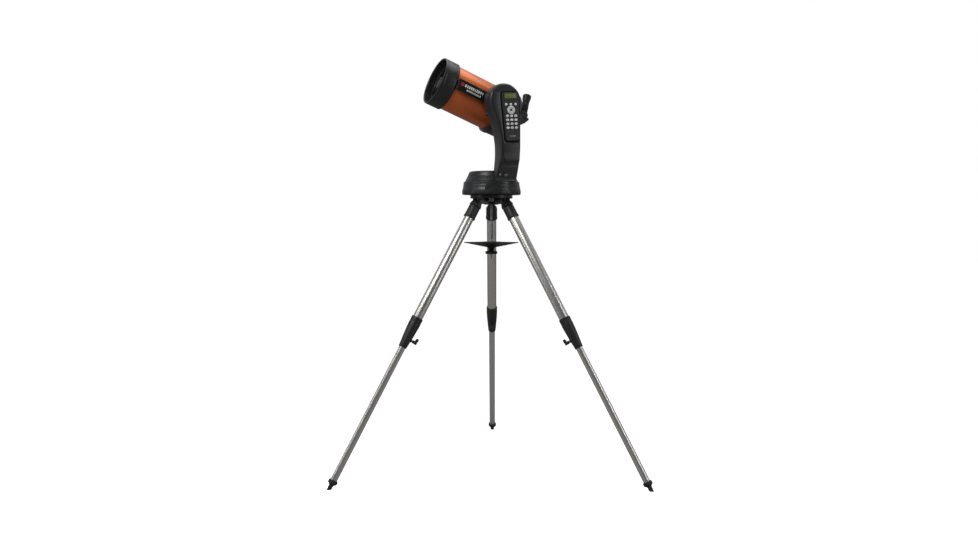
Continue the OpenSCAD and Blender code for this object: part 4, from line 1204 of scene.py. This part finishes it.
def arm_shell(inner_side):
    """Half of the arm's casing, split at the seam. Z is the distance from the tube until the end."""
    wall = 3.0
    outline = arm_outline(below=14)
    face, edge = (ARM_INNER, 4.0) if inner_side else (ARM_OUTER, 10.0)
    seam = ARM_SEAM - 0.15 if inner_side else ARM_SEAM + 0.15
    out = -1 if inner_side else 1
    parts = 7
    rings = [(wall, seam), (0.7, seam), (0, seam + out * 0.7)]
    for i in range(parts + 1):
        angle = math.pi / 2 * i / parts
        rings.append((edge * (1 - math.cos(angle)), face - out * edge * (1 - math.sin(angle))))
    hollow = face + wall if inner_side else seam + 5.5
    floor_y = ARM_LOW + 13
    skin = [[(p.x, p.y, w) for p in inset(outline, depth)] for depth, w in rings]
    inside = [[(p.x, max(p.y, floor_y), w) for p in inset(outline, wall)] for w in (hollow, seam)]
    bm = loft(inside + skin)
    if not inner_side:
        bm = carved(bm, groove_tool())
    heights = [ARM_LOW + 4 * i for i in range(1, 34)] + [AXIS_Z + 20 + 4 * i for i in range(14)]
    for height in heights:
        sliced(bm, (0, height, 0), (0, 1, 0))
    for v in bm.verts:
        top = arm_outer(v.co.y)
        if inner_side:
            room = min(1.0, (top - 0.1 - ARM_INNER) / (seam - ARM_INNER))
            v.co.z = ARM_INNER + (v.co.z - ARM_INNER) * room
        else:
            room = max(0.5, top - seam) / (ARM_OUTER - seam)
            v.co.z = seam + (v.co.z - seam) * room
    foot = ARM_LOW if inner_side else ARM_LOW + 6.5
    sliced(bm, (0, foot, 0), (0, 1, 0), keep_below=False)
    bmesh.ops.triangulate(bm, faces=[f for f in bm.faces if len(f.verts) > 4])
    bmesh.ops.recalc_face_normals(bm, faces=bm.faces)
    return stood_up(bm)


def handset_outline(grow=0.0):
    """The hand control's outline: wider in its upper half, with rounded corners."""
    low, high = reach("hand_control", HANDSET, 1)
    wide = reach("hand_control", HANDSET, 0)[1]
    shape = rounded([(6 - wide, low), (wide - 6, low), (wide, high - 30), (wide, high), (-wide, high),
                     (-wide, high - 30)], [7, 7, 60, 7, 7, 60], 6)
    return inset(shape, -grow) if grow else shape


# Switch axes: X along the arm's sloping foot, Y up the slope, Z out of it
FOOT_SLOPE = math.radians(21)
SWITCH_OUT = MOUNT.col[1].xyz * math.cos(FOOT_SLOPE) - UP * math.sin(FOOT_SLOPE)
SWITCH = axes(pivot("power_switch_rock"), SWITCH_OUT, MOUNT.col[0].xyz)
if SWITCH.col[1].z < 0:
    SWITCH = SWITCH @ Matrix.Rotation(math.pi, 4, "Z")
JACKS = (10.0, -17.0)       # where the two sockets lie along X


def switch_holes():
    """The tools that cut the openings for the power switch and the sockets."""
    return [pressed(box_outline(10.2, 16.2), -7, 8, ease=0)] + [
        placed(rod(3.4, -6, 8, 32), x=x) for x in JACKS]


def drive_arm():
    """Both halves of the arm, the panel of sockets at its foot, and the switch."""
    axle = axes(ALTITUDE, TOWARDS_ARM, UP)
    low = reach("altitude_gear", axle)[0]
    shaft = girth("altitude_gear", axle, low, low + 1) + 0.4
    hole = rod(shaft, ARM_INNER - 5, ARM_SEAM)
    placed(hole, z=AXIS_Z, turn=-90, about="X")
    inner = carved(arm_shell(True), hole)
    piece("arm_tube_side", inner, MOUNT, "mount", "shell_plastic", ["arm_inner_shell"], crease=30)

    outer = arm_shell(False)
    back = -0.3
    rings = [(1.0, back), (1.0, 13), (1.6, 16.5), (3.2, 19.5), (6.0, 21.6), (9.0, 22.3), (9.0, 60)]
    pocket = stacked(handset_outline, rings)
    outer = carved(outer, carried(pocket, HANDSET, MOUNT), carried(finger_notch(), HANDSET, MOUNT),
                   *[carried(tool, SWITCH, MOUNT) for tool in switch_holes()])
    piece("arm_outer_side", outer, MOUNT, "mount", "shell_plastic", ["arm_outer_shell"], crease=30)

    panel = pressed(rounded(box_outline(44, 20, -3.5, 0), 3), -0.6, 0.7, ease=0.4)
    piece("socket_panel", carved(panel, *switch_holes()), SWITCH, "mount", "shell_plastic",
          material=OWN["handset_plastic"])
    rings = [placed(turned([(2.1, -3.5), (3.3, -3.5), (3.3, 0.9), (3.9, 1.0), (3.9, 1.5), (2.1, 1.5)],
                           steps=40, ease=0.15), x=x) for x in JACKS]
    piece("socket_rings", gathered(*rings), SWITCH, "mount", "zinc_steel")

    low, high = reach("power_switch", SWITCH)
    across = reach("power_switch", SWITCH, 0)[1] - 0.1
    along = reach("power_switch", SWITCH, 1)[1] - 0.1
    outline = []
    for i in range(48):
        y, z = along * math.cos(TURN * i / 48), along * math.sin(TURN * i / 48)
        outline.append((y, max(low, min(high - 1.1 + abs(y) / along, z))))
    rocker = pressed(outline, -across, across, ease=0.4)
    for v in rocker.verts:
        v.co = (v.co.z, v.co.x, v.co.y)
    piece("rocker_switch", rocker, SWITCH, "power_switch", "switch_plastic", ["power_switch"])


drive_base()
drive_cover()
drive_arm()


# ---------- Saddle and optical tube ----------

TUBE_R = girth("optical_tube", TUBE)
BAR = reach("dovetail_bar", TUBE, 1)
BAR_HALF = reach("dovetail_bar", TUBE, 0)[1]


def dovetail_outline(grow=0.0):
    narrow = BAR_HALF - (BAR[1] - BAR[0]) * 0.25
    return [(-narrow - grow, BAR[0] - grow), (narrow + grow, BAR[0] - grow),
            (BAR_HALF + grow, BAR[1] + grow), (-BAR_HALF - grow, BAR[1] + grow)]


def tube_saddle():
    """The disc and jaws that hold the tube's dovetail bar, and the clamp knob below them."""
    low, high = reach("dovetail_bar", TUBE)
    bar = pressed(rounded(dovetail_outline(), 0.8), low, high, ease=1.0)
    piece("tube_dovetail", bar, TUBE, "tube", "cell_paint", ["dovetail_bar"])
    face = BAR[1] + 0.02
    plate = pressed(rounded(box_outline(2 * BAR_HALF - 4, 108, 0, high - 60), 2), face, face + 0.3,
                    ease=0.1)
    piece("label_plate", stood_up(plate), TUBE, "tube", "cell_paint", material=DARK_GLASS)
    bars = []
    for x, size, first, count, step in ((-5.0, 11.0, high - 31, 10, 8.2), (9.0, 6.5, high - 42, 11, 5.6)):
        for i in range(count):
            wide = step * (0.5 if i % 4 == 1 else 0.74)
            bars.append(pressed(rounded(box_outline(size, wide, x, first - step * i), 0.6, 2), face + 0.2,
                                face + 0.45, ease=0.05))
    piece("label_bars", stood_up(gathered(*bars)), TUBE, "tube", "cell_paint", material=PRINT_WHITE)
    mark = sleeve(3.6, 7.0, face + 0.2, face + 0.45, 40, ease=0.05)
    dot = rod(2, face + 0.2, face + 0.45, 24, ease=0.05)
    mark = placed(gathered(mark, dot), x=-5.0, y=high - 17)
    piece("label_mark", stood_up(mark), TUBE, "tube", "cell_paint", material=PRINT_RED)

    disc_y = reach("saddle", TUBE, 1)[1]
    radius = reach("saddle", TUBE, 0)[1]
    disc = turned([(0, BAR[1] + 0.8), (radius - 2, BAR[1] + 0.8), (radius, BAR[1] + 2.8),
                   (radius, disc_y - 1.5), (radius - 1.5, disc_y), (0, disc_y)], ease=0.5)
    placed(disc, turn=-90, about="X")
    jaw_low, jaw_high = -5.0, reach("saddle", TUBE)[1]
    wide = BAR_HALF + 12
    jaws = pressed(rounded([(2 - wide, BAR[0] + 3), (wide - 2, BAR[0] + 3), (wide, BAR[1] + 1.8),
                            (-wide, BAR[1] + 1.8)], 1.5), jaw_low, jaw_high, ease=1.2)
    channel = dovetail_outline(0.3)
    channel = channel[:2] + [(x, BAR[1] + 0.8) for x, y in channel[2:]]
    way_through = pressed(channel, jaw_low - 5, jaw_high + 5, ease=0)
    knob_at = TUBE.inverted() @ pivot("clamp_knob_turn") / MM
    hole = rod(3.3, 0, 60, 32)
    placed(hole, y=knob_at.y, z=knob_at.z, turn=90, about="Y")
    body = carved(welded(disc, jaws), way_through, hole)
    piece("tube_clamp", body, TUBE, "cradle", "cell_paint", ["saddle"])

    place = axes(pivot("clamp_knob_turn"), TUBE.col[0].xyz, FORWARD)
    low, high = reach("clamp_knob", place)
    radius = girth("clamp_knob", place)
    knob = turned([(0, low), (2.9, low), (2.9, high - 26), (4.9, high - 25.6), (4.9, high - 18),
                   (10.5, high - 18), (radius, high - 16.5), (radius, high - 2), (radius - 1.5, high),
                   (0, high)], steps=144, ease=0.8, shape=fluted(6, 1.9, 9, high - 16))
    piece("dovetail_knob", knob, place, "clamp_knob", "moulded_black", ["clamp_knob"])


def main_tube():
    low, high = reach("optical_tube", TUBE)
    inner = bore("optical_tube", TUBE)
    shell = sleeve(inner, TUBE_R, low, high, 192, ease=0.3)
    piece("orange_tube", shell, TUBE, "tube", "tube_orange", ["optical_tube"])
    lining = sleeve(inner - 0.5, inner - 0.02, low + 0.6, high - 0.6, 128)
    piece("tube_lining", lining, TUBE, "tube", "baffle_black")


def front_end():
    """The front cell, the corrector and its ring, and the secondary mirror's holder."""
    low, high = reach("front_cell", TUBE)
    radius = girth("front_cell", TUBE)
    glass_low, glass_high = reach("corrector_plate", TUBE)
    glass = girth("corrector_plate", TUBE)
    opening = bore("retaining_ring", TUBE)
    seat = reach("optical_tube", TUBE)[1] + 0.3
    cell = turned([(TUBE_R + 0.05, low), (radius - 2, low), (radius, low + 2), (radius, low + 8),
                   (radius - 0.8, low + 8.6), (radius - 0.8, low + 10), (radius, low + 10.6),
                   (radius, high - 12), (radius - 0.7, high - 11.4), (radius - 0.7, high - 10.2),
                   (radius, high - 9.6), (radius, high - 3), (radius - 1.2, high), (radius - 4, high),
                   (TUBE_R - 1, high - 3), (TUBE_R - 1.4, high - 16), (TUBE_R - 1.6, glass_high),
                   (glass + 0.05, glass_high), (glass + 0.05, glass_low), (opening, glass_low),
                   (opening, glass_low - 4), (TUBE_R - 3, seat), (TUBE_R + 0.05, seat)], steps=192,
                  ease=0.5)
    piece("front_casting", cell, TUBE, "tube", "cell_paint", ["front_cell"])

    hole = bore("corrector_plate", TUBE)
    plate = sleeve(hole, glass, glass_low, glass_high, 128, ease=0.2)
    piece("corrector_lens", plate, TUBE, "tube", "corrector_glass", ["corrector_plate"])

    low, high = reach("retaining_ring", TUBE)
    outer = girth("retaining_ring", TUBE)
    ring = turned([(opening, low), (outer, low), (outer, high - 0.5), (outer - 0.5, high),
                   (opening + 1.6, high), (opening, high - 1.4)], steps=160, ease=0.3)
    screws = grown("cap_screws", OWN["anodised_black"], Count=8, Ring_Radius=(outer + opening) / 2,
                   Head_Radius=1.7, Head_Height=1.2)
    piece("corrector_ring", gathered(ring, placed(screws, z=high + 0.5, turn=22.5)), TUBE, "tube",
          "anodised_black", ["retaining_ring"])

    low, high = reach("secondary_holder", TUBE)
    radius = girth("secondary_holder", TUBE)
    neck = hole - 0.05
    drum = turned([(0, low + 5), (13.4, low + 5), (14, low), (radius - 1, low),
                   (radius - 1, glass_low - 0.1), (neck, glass_low - 0.1), (neck, glass_high),
                   (radius, glass_high), (radius, high - 5.5), (radius - 0.7, high - 4.9),
                   (radius - 0.7, high - 4.1), (radius, high - 3.5), (radius - 0.6, high - 1.2),
                   (radius - 2, high - 0.6), (14.5, high - 0.6), (13.8, high - 2.2), (11.6, high - 2.2),
                   (11, high - 0.4), (9, high), (0, high)], steps=128, ease=0.5)
    bolts = grown("cap_screws", OWN["anodised_black"], Count=3, Ring_Radius=radius - 5.2, Head_Radius=1.9,
                  Head_Height=1.0)
    piece("secondary_drum", gathered(drum, placed(bolts, z=high - 0.3, turn=90)), TUBE, "tube",
          "moulded_black", ["secondary_holder"])
    mirror = turned([(0, low + 3.2), (8, low + 3.5), (13.2, low + 4.2), (13.2, low + 4.95), (0, low + 4.95)],
                    steps=96, ease=0.1)
    piece("secondary_mirror", mirror, TUBE, "tube", "mirror_coat")


def rear_end():
    """The rear cell, the focus knob and the visual back."""
    low, high = reach("rear_cell", TUBE)
    radius = girth("rear_cell", TUBE)
    core = girth("baffle_tube", TUBE) + 0.02
    knob_at = TUBE.inverted() @ pivot("focus_turn") / MM
    wall = low + 8
    seat = reach("optical_tube", TUBE)[0] - 0.3
    cell = turned([(core, low), (radius - 13, low), (radius - 9, low + 1.5), (radius - 6, low + 5),
                   (radius - 3.6, low + 11), (radius - 3, low + 16), (radius - 2, high - 18),
                   (radius, high - 16), (radius, high - 10), (radius - 0.8, high - 9.4),
                   (radius - 0.8, high - 8.2), (radius, high - 7.6), (radius, high - 2), (radius - 1, high),
                   (TUBE_R + 0.05, high), (TUBE_R + 0.05, seat), (TUBE_R - 3, seat), (TUBE_R - 3, wall),
                   (core, wall)], steps=192, ease=0.8)
    hole = rod(4.2, low - 5, wall + 5, 32)
    placed(hole, x=knob_at.x, y=knob_at.y)
    screws = grown("cap_screws", OWN["zinc_steel"], Count=6, Ring_Radius=36.0, Head_Radius=2.6,
                   Head_Height=1.6)
    placed(screws, turn=180, about="X")
    placed(screws, z=low - 0.6, turn=30)
    body = carved(cell, hole)
    piece("rear_casting", body, TUBE, "tube", "cell_paint", ["rear_cell"])
    piece("rear_screws", screws, TUBE, "tube", "zinc_steel")

    place = axes(pivot("focus_turn"), -FORWARD, TOWARDS_ARM)
    low, high = reach("focus_knob", place)
    radius = girth("focus_knob", place)
    flutes = fluted(12, 0.9, radius - 1.4, high - 21, high - 3)
    knob = turned([(0, low), (3.9, low), (3.9, high - 22.2), (radius - 1, high - 22), (radius, high - 21),
                   (radius, high - 4), (radius - 1.4, high - 1), (radius - 3, high),
                   (radius - 5, high - 0.8), (0, high - 0.8)], steps=192, ease=0.6, shape=flutes)
    piece("focuser_knob", knob, place, "focus_knob", "knob_rubber", ["focus_knob"])

    low, high = reach("visual_back", TUBE)
    radius = girth("visual_back", TUBE)
    inner = bore("visual_back", TUBE)
    back = turned([(inner, low), (radius - 6, low), (radius - 5, low + 1), (radius - 5, low + 17),
                   (radius - 1, low + 19), (radius, low + 20), (radius, high - 1.5), (radius - 1, high),
                   (inner, high)], steps=128, ease=0.5)
    ribs = grown("ribs", OWN["anodised_black"], Count=72, Ring_Radius=radius - 0.2, Rib_Width=1.1,
                 Rib_Depth=1.0, Rib_Length=9.0)
    placed(ribs, z=high - 6.6)
    screw = turned([(0, radius - 7), (1.6, radius - 7), (1.6, radius - 4), (3.6, radius - 4),
                    (3.8, radius - 3), (3.8, radius + 3), (3.2, radius + 3.8), (0, radius + 3.8)], steps=40,
                   ease=0.3)
    placed(screw, z=low + 8, turn=-90, about="Y")
    piece("eyepiece_adapter", gathered(back, ribs, screw), TUBE, "tube", "anodised_black", ["visual_back"])


def elbow_and_eyepiece():
    """The right-angle diagonal with its barrel and holder, and the eyepiece."""
    front, rear = reach("diagonal", ELBOW, 0)
    bottom, top = reach("diagonal", ELBOW)
    side = rear - 1
    barrel = girth("eyepiece", ELBOW, bottom, top - 1)
    half = barrel + 1.2
    block = pressed(rounded([(rear, side), (rear, side - 3), (3 - side, bottom), (-side, bottom),
                             (-side, side)], 2.0), -half, half, ease=2.0)
    placed(block, turn=90, about="X")
    nose = turned([(0, front), (barrel - 1, front), (barrel, front + 1), (barrel, front + 8),
                   (barrel - 0.5, front + 9), (barrel - 0.5, front + 13), (barrel, front + 14),
                   (barrel, 2 - side), (0, 2 - side)], ease=0.3)
    placed(nose, turn=90, about="Y")
    holder_r = girth("diagonal", ELBOW, top - 1, top)
    holder = turned([(0, side - 2), (holder_r, side - 2), (holder_r, side + 6), (holder_r - 0.8, side + 7),
                     (holder_r - 0.8, top - 7), (holder_r, top - 6), (holder_r, top - 1),
                     (holder_r - 1, top), (0, top)], ease=0.3)
    body = welded(block, nose, holder)
    upper = rod(barrel + 0.25, 3, top + 9)
    through = rod(barrel - 2, front - 9, 0)
    placed(through, turn=90, about="Y")
    screw = turned([(0, holder_r - 2.2), (1.5, holder_r - 2.2), (1.5, holder_r + 1), (3.4, holder_r + 1),
                    (3.6, holder_r + 2), (3.6, holder_r + 7), (3, holder_r + 7.8), (0, holder_r + 7.8)],
                   steps=40, ease=0.3)
    placed(screw, z=top - 10, turn=90, about="Y")
    piece("mirror_diagonal", gathered(carved(body, upper, through), screw), ELBOW, "diagonal",
          "moulded_black", ["diagonal"])

    low, high = reach("eyepiece", ELBOW)
    body_r = barrel - 1.6
    flare = girth("eyepiece", ELBOW)
    tube = turned([(0, low + 0.5), (barrel - 1.6, low + 0.5), (barrel - 1, low), (barrel, low + 1),
                   (barrel, low + 7), (barrel - 0.4, low + 8), (barrel - 0.4, low + 12), (barrel, low + 13),
                   (barrel, top + 0.3), (barrel + 1.3, top + 0.3), (barrel + 1.3, top + 4),
                   (body_r, top + 5.5), (body_r, top + 8), (body_r - 0.7, top + 9), (body_r - 0.7, top + 11),
                   (body_r, top + 12), (body_r, high - 40), (body_r - 0.7, high - 39),
                   (body_r - 0.7, high - 37), (body_r, high - 36), (body_r, high - 24),
                   (flare - 2.4, high - 20), (flare - 2, high - 12), (flare - 1.2, high - 10),
                   (flare - 1, high - 1), (flare - 1.5, high), (flare - 5, high), (flare - 6, high - 6),
                   (flare - 7, high - 8), (0, high - 8)], steps=96, ease=0.4)
    ribs = grown("ribs", OWN["anodised_black"], Count=40, Ring_Radius=body_r - 0.1, Rib_Width=1.5,
                 Rib_Depth=0.9, Rib_Length=high - 42 - top - 14)
    placed(ribs, z=(high - 42 + top + 14) / 2)
    piece("eyepiece_body", gathered(tube, ribs), ELBOW, "eyepiece", "anodised_black", ["eyepiece"])
    lens = turned([(0, high - 8.2), (flare - 7.2, high - 8.2), (flare - 7.2, high - 7.4), (5, high - 6.4),
                   (0, high - 6.2)], steps=64, ease=0.2)
    piece("eye_lens", lens, ELBOW, "eyepiece", "corrector_glass", material=DARK_GLASS)


tube_saddle()
main_tube()
front_end()
rear_end()
elbow_and_eyepiece()


# ---------- Hand control ----------

def figure(text, size, x, y, z):
    """A raised character as a mesh, in millimetres."""
    curve = bpy.data.curves.new("figure", "FONT")
    curve.body = text
    curve.size = size
    curve.extrude = 0.04
    curve.align_x = "CENTER"
    curve.align_y = "CENTER"
    holder = bpy.data.objects.new("figure", curve)
    show(holder)
    bpy.context.view_layer.update()
    mesh = bpy.data.meshes.new_from_object(holder)
    bm = bmesh.new()
    bm.from_mesh(mesh)
    bpy.data.objects.remove(holder)
    bpy.data.meshes.remove(mesh)
    bpy.data.curves.remove(curve)
    return placed(bm, x, y, z)


def hand_control():
    """The hand control: its case, display and keys."""
    top = reach("hand_control", HANDSET)[1]
    window = [reach("display_window", HANDSET, side) for side in (0, 1, 2)]
    key_low, key_high = reach("number_keys", HANDSET)
    well = key_low - 1.7
    menu_y = sum(reach("menu_keys", HANDSET, 1)) / 2
    menu_r = (reach("menu_keys", HANDSET, 1)[1] - reach("menu_keys", HANDSET, 1)[0]) / 2
    pitch = reach("menu_keys", HANDSET, 0)[1] - menu_r
    pad_r = reach("direction_keys", HANDSET, 0)[1]
    pad_y = sum(reach("direction_keys", HANDSET, 1)) / 2
    first = reach("number_keys", HANDSET, 1)
    width, height = 12.0, 8.4
    row_pitch = (first[1] - first[0] - height) / 3
    column = reach("number_keys", HANDSET, 0)[1] - width / 2
    numbers = [(column * c, first[1] - height / 2 - row_pitch * r) for r in range(4) for c in (-1, 0, 1)]
    low = reach("hand_control", HANDSET, 1)[0]


    def pane(grow, radius=1.5):
        return rounded(box_outline(2 * (window[0][1] + grow), window[1][1] - window[1][0] + 2 * grow, 0,
                                   sum(window[1]) / 2), radius)

    case = pressed(handset_outline(), 0, top, ease=2.6, parts=5)
    tools = [stacked(handset_outline, ((-5.6, top - 0.9), (-4.6, top + 0.1), (-4.6, top + 4))),
             stacked(pane, ((0.1, window[2][0] - 0.1), (0.1, top - 1.2), (1.6, top + 0.2), (1.6, top + 5)))]
    for i in (-1, 0, 1):
        tools.append(placed(rod(menu_r + 0.3, well, top + 5, 40), pitch * i, menu_y))
    pad_hole = 5.0
    ring = sleeve(pad_hole - 0.3, pad_r + 0.3, well, top + 5, 80)
    tools.append(placed(ring, y=pad_y))
    for x, y in numbers:
        tools.append(pressed(rounded(box_outline(width + 0.6, height + 0.6, x, y), 4.1, 6), well,
                             top + 5, ease=0))
    case = carved(case, *tools)
    piece("hand_control_case", case, HANDSET, "handset", "handset_plastic", ["hand_control"], crease=30)

    glass = pressed(pane(-0.05, 1.4), window[2][0], window[2][1] - 0.6, ease=0.2)
    piece("display_glass", glass, HANDSET, "handset", "display_green", ["display_window"])
    bezel = stacked(pane, ((1.9, top - 1.0), (1.9, top - 0.5), (1.3, top - 0.1), (-0.4, top - 0.1),
                           (-0.4, top - 0.4), (-0.2, top - 1.0)), closed=True)
    piece("display_bezel", bezel, HANDSET, "handset", "handset_plastic", material=OWN["moulded_black"])

    menu = [placed(turned([(0, key_low), (menu_r, key_low), (menu_r, key_high - 1),
                           (menu_r - 0.9, key_high - 0.1), (0, key_high)], steps=40, ease=0.3), pitch * i,
                   menu_y) for i in (-1, 0, 1)]
    piece("menu_buttons", gathered(*menu), HANDSET, "menu_keys", "key_white", ["menu_keys"])
    pad = turned([(pad_hole, key_low), (pad_r, key_low), (pad_r, key_high - 1.2),
                  (pad_r - 0.9, key_high - 0.3), ((pad_r + pad_hole) / 2, key_high),
                  (pad_hole + 0.8, key_high - 0.3), (pad_hole, key_high - 1)], steps=96, ease=0.4)
    gaps = [placed(pressed(box_outline(2 * pad_r + 6, 1.9), key_low - 2, key_high + 2, ease=0), turn=turn)
            for turn in (45, 135)]
    pad = placed(carved(pad, *gaps), y=pad_y)
    piece("direction_buttons", pad, HANDSET, "direction_keys", "key_white", ["direction_keys"])
    arrows = []
    for i in range(4):
        arrow = pressed([(-2.2, 9.2), (2.2, 9.2), (0, 12.2)], key_high - 0.3, key_high + 0.04, ease=0.02)
        arrows.append(placed(placed(arrow, turn=90 * i), y=pad_y))
    piece("direction_legends", gathered(*arrows), HANDSET, "direction_keys", "handset_plastic",
          material=LEGEND_GREY)
    keys = []
    for x, y in numbers:
        keys.append(pressed(rounded(box_outline(width, height, x, y), height / 2 - 0.4, 6), key_low,
                            key_high, ease=0.9, parts=4))
    piece("number_buttons", gathered(*keys), HANDSET, "number_keys", "key_white", ["number_keys"])
    legends = []
    for (x, y), text in zip(numbers, "123456789-0+"):
        legends.append(figure(text, 5.2, x, y, key_high + 0.02))
    piece("number_legends", gathered(*legends), HANDSET, "number_keys", "handset_plastic",
          material=LEGEND_GREY)
    mark = []
    for x, w in ((-9, 5), (-1.5, 7), (7.5, 8)):
        mark.append(pressed(box_outline(w, 1.6, x, low + 18), top - 0.92, top - 0.78, ease=0.04))
    piece("hand_control_mark", gathered(*mark), HANDSET, "handset", "handset_plastic", material=PRINT_WHITE)


hand_control()


# ---------- Floor, light and camera ----------

def studio():
    floor_mesh = bpy.data.meshes.new("studio_floor")
    bm = bmesh.new()
    for corner in ((-20, -20), (20, -20), (20, 20), (-20, 20)):
        bm.verts.new((*corner, -0.0004))
    bm.faces.new(bm.verts)
    bm.to_mesh(floor_mesh)
    bm.free()
    material = bpy.data.materials.new("studio floor")
    material.use_nodes = True
    tree = material.node_tree
    shader = next(n for n in tree.nodes if n.type == "BSDF_PRINCIPLED")
    place = add(tree, "ShaderNodeTexCoord").outputs["Object"]
    cloud = add(tree, "ShaderNodeTexNoise", {"Vector": place, "Scale": 0.7})
    base = blend_colour(tree, cloud.outputs["Fac"], (0.86, 0.86, 0.87, 1), (0.9, 0.9, 0.9, 1))
    seen = add(tree, "ShaderNodeLightPath").outputs["Is Camera Ray"]
    base = blend_colour(tree, seen, (0.3, 0.29, 0.28, 1), base)
    tree.links.new(base, shader.inputs["Base Color"])
    shader.inputs["Roughness"].default_value = 0.85
    shader.inputs["Emission Color"].default_value = (1, 1, 1, 1)
    tree.links.new(maths(tree, "MULTIPLY", seen, 0.8), shader.inputs["Emission Strength"])
    floor_mesh.materials.append(material)
    floor = bpy.data.objects.new("studio_floor", floor_mesh)
    show(floor)

    world = bpy.data.worlds.new("studio")
    bpy.context.scene.world = world
    world.use_nodes = True
    tree = world.node_tree
    background = next(n for n in tree.nodes if n.type == "BACKGROUND")
    seen = add(tree, "ShaderNodeBackground", {"Color": (1, 1, 1, 1), "Strength": 1.0})
    split = add(tree, "ShaderNodeSeparateXYZ", {
        "Vector": add(tree, "ShaderNodeTexCoord").outputs["Generated"]})
    behind = spread(tree, split.outputs["Y"], -0.3, 0.7, 0.05, 0.42)
    above = spread(tree, split.outputs["Z"], 0.1, 0.9, 0.0, 0.1)
    tree.links.new(maths(tree, "ADD", behind, above), background.inputs["Strength"])
    background.inputs["Color"].default_value = (0.97, 0.98, 1, 1)
    ray = add(tree, "ShaderNodeLightPath").outputs["Is Camera Ray"]
    mix = add(tree, "ShaderNodeMixShader", {0: ray})
    tree.links.new(background.outputs[0], mix.inputs[1])
    tree.links.new(seen.outputs[0], mix.inputs[2])
    out = next(n for n in tree.nodes if n.type == "OUTPUT_WORLD")
    tree.links.new(mix.outputs[0], out.inputs[0])

    for name, spot, aim, size, power in (
        ("key softbox", (-1.6, -2.2, 3.0), (0, 0, 1.2), (1.6, 1.2), 50),
        ("right strip", (2.4, -1.3, 1.3), (0, 0, 0.9), (0.3, 2.4), 14),
        ("left strip", (-2.5, -0.9, 1.2), (0, 0, 0.9), (0.3, 2.4), 8),
        ("top softbox", (0.3, 0.4, 3.4), (0, 0, 1.0), (2.2, 1.8), 26),
    ):
        light = bpy.data.lights.new(name, "AREA")
        light.shape = "RECTANGLE"
        light.size, light.size_y = size
        light.energy = power
        lamp = bpy.data.objects.new(name, light)
        lamp.location = spot
        lamp.rotation_euler = (Vector(aim) - Vector(spot)).to_track_quat("-Z", "Y").to_euler()
        show(lamp)


studio()
camera_data = bpy.data.cameras.new("camera")
camera_data.lens = 34.23
camera_data.sensor_width = 36
camera_data.sensor_fit = "HORIZONTAL"
camera = bpy.data.objects.new("camera", camera_data)
camera.matrix_world = (
    Matrix.Rotation(math.radians(0.67), 4, "Z") @ Matrix.Translation((-0.0089, -3.631, 0.953))
    @ Matrix.Rotation(math.radians(90 - 3.083), 4, "X") @ Matrix.Rotation(math.radians(0.11), 4, "Z")
)
show(camera)
bpy.context.scene.camera = camera
bpy.context.scene.view_settings.view_transform = "Standard"
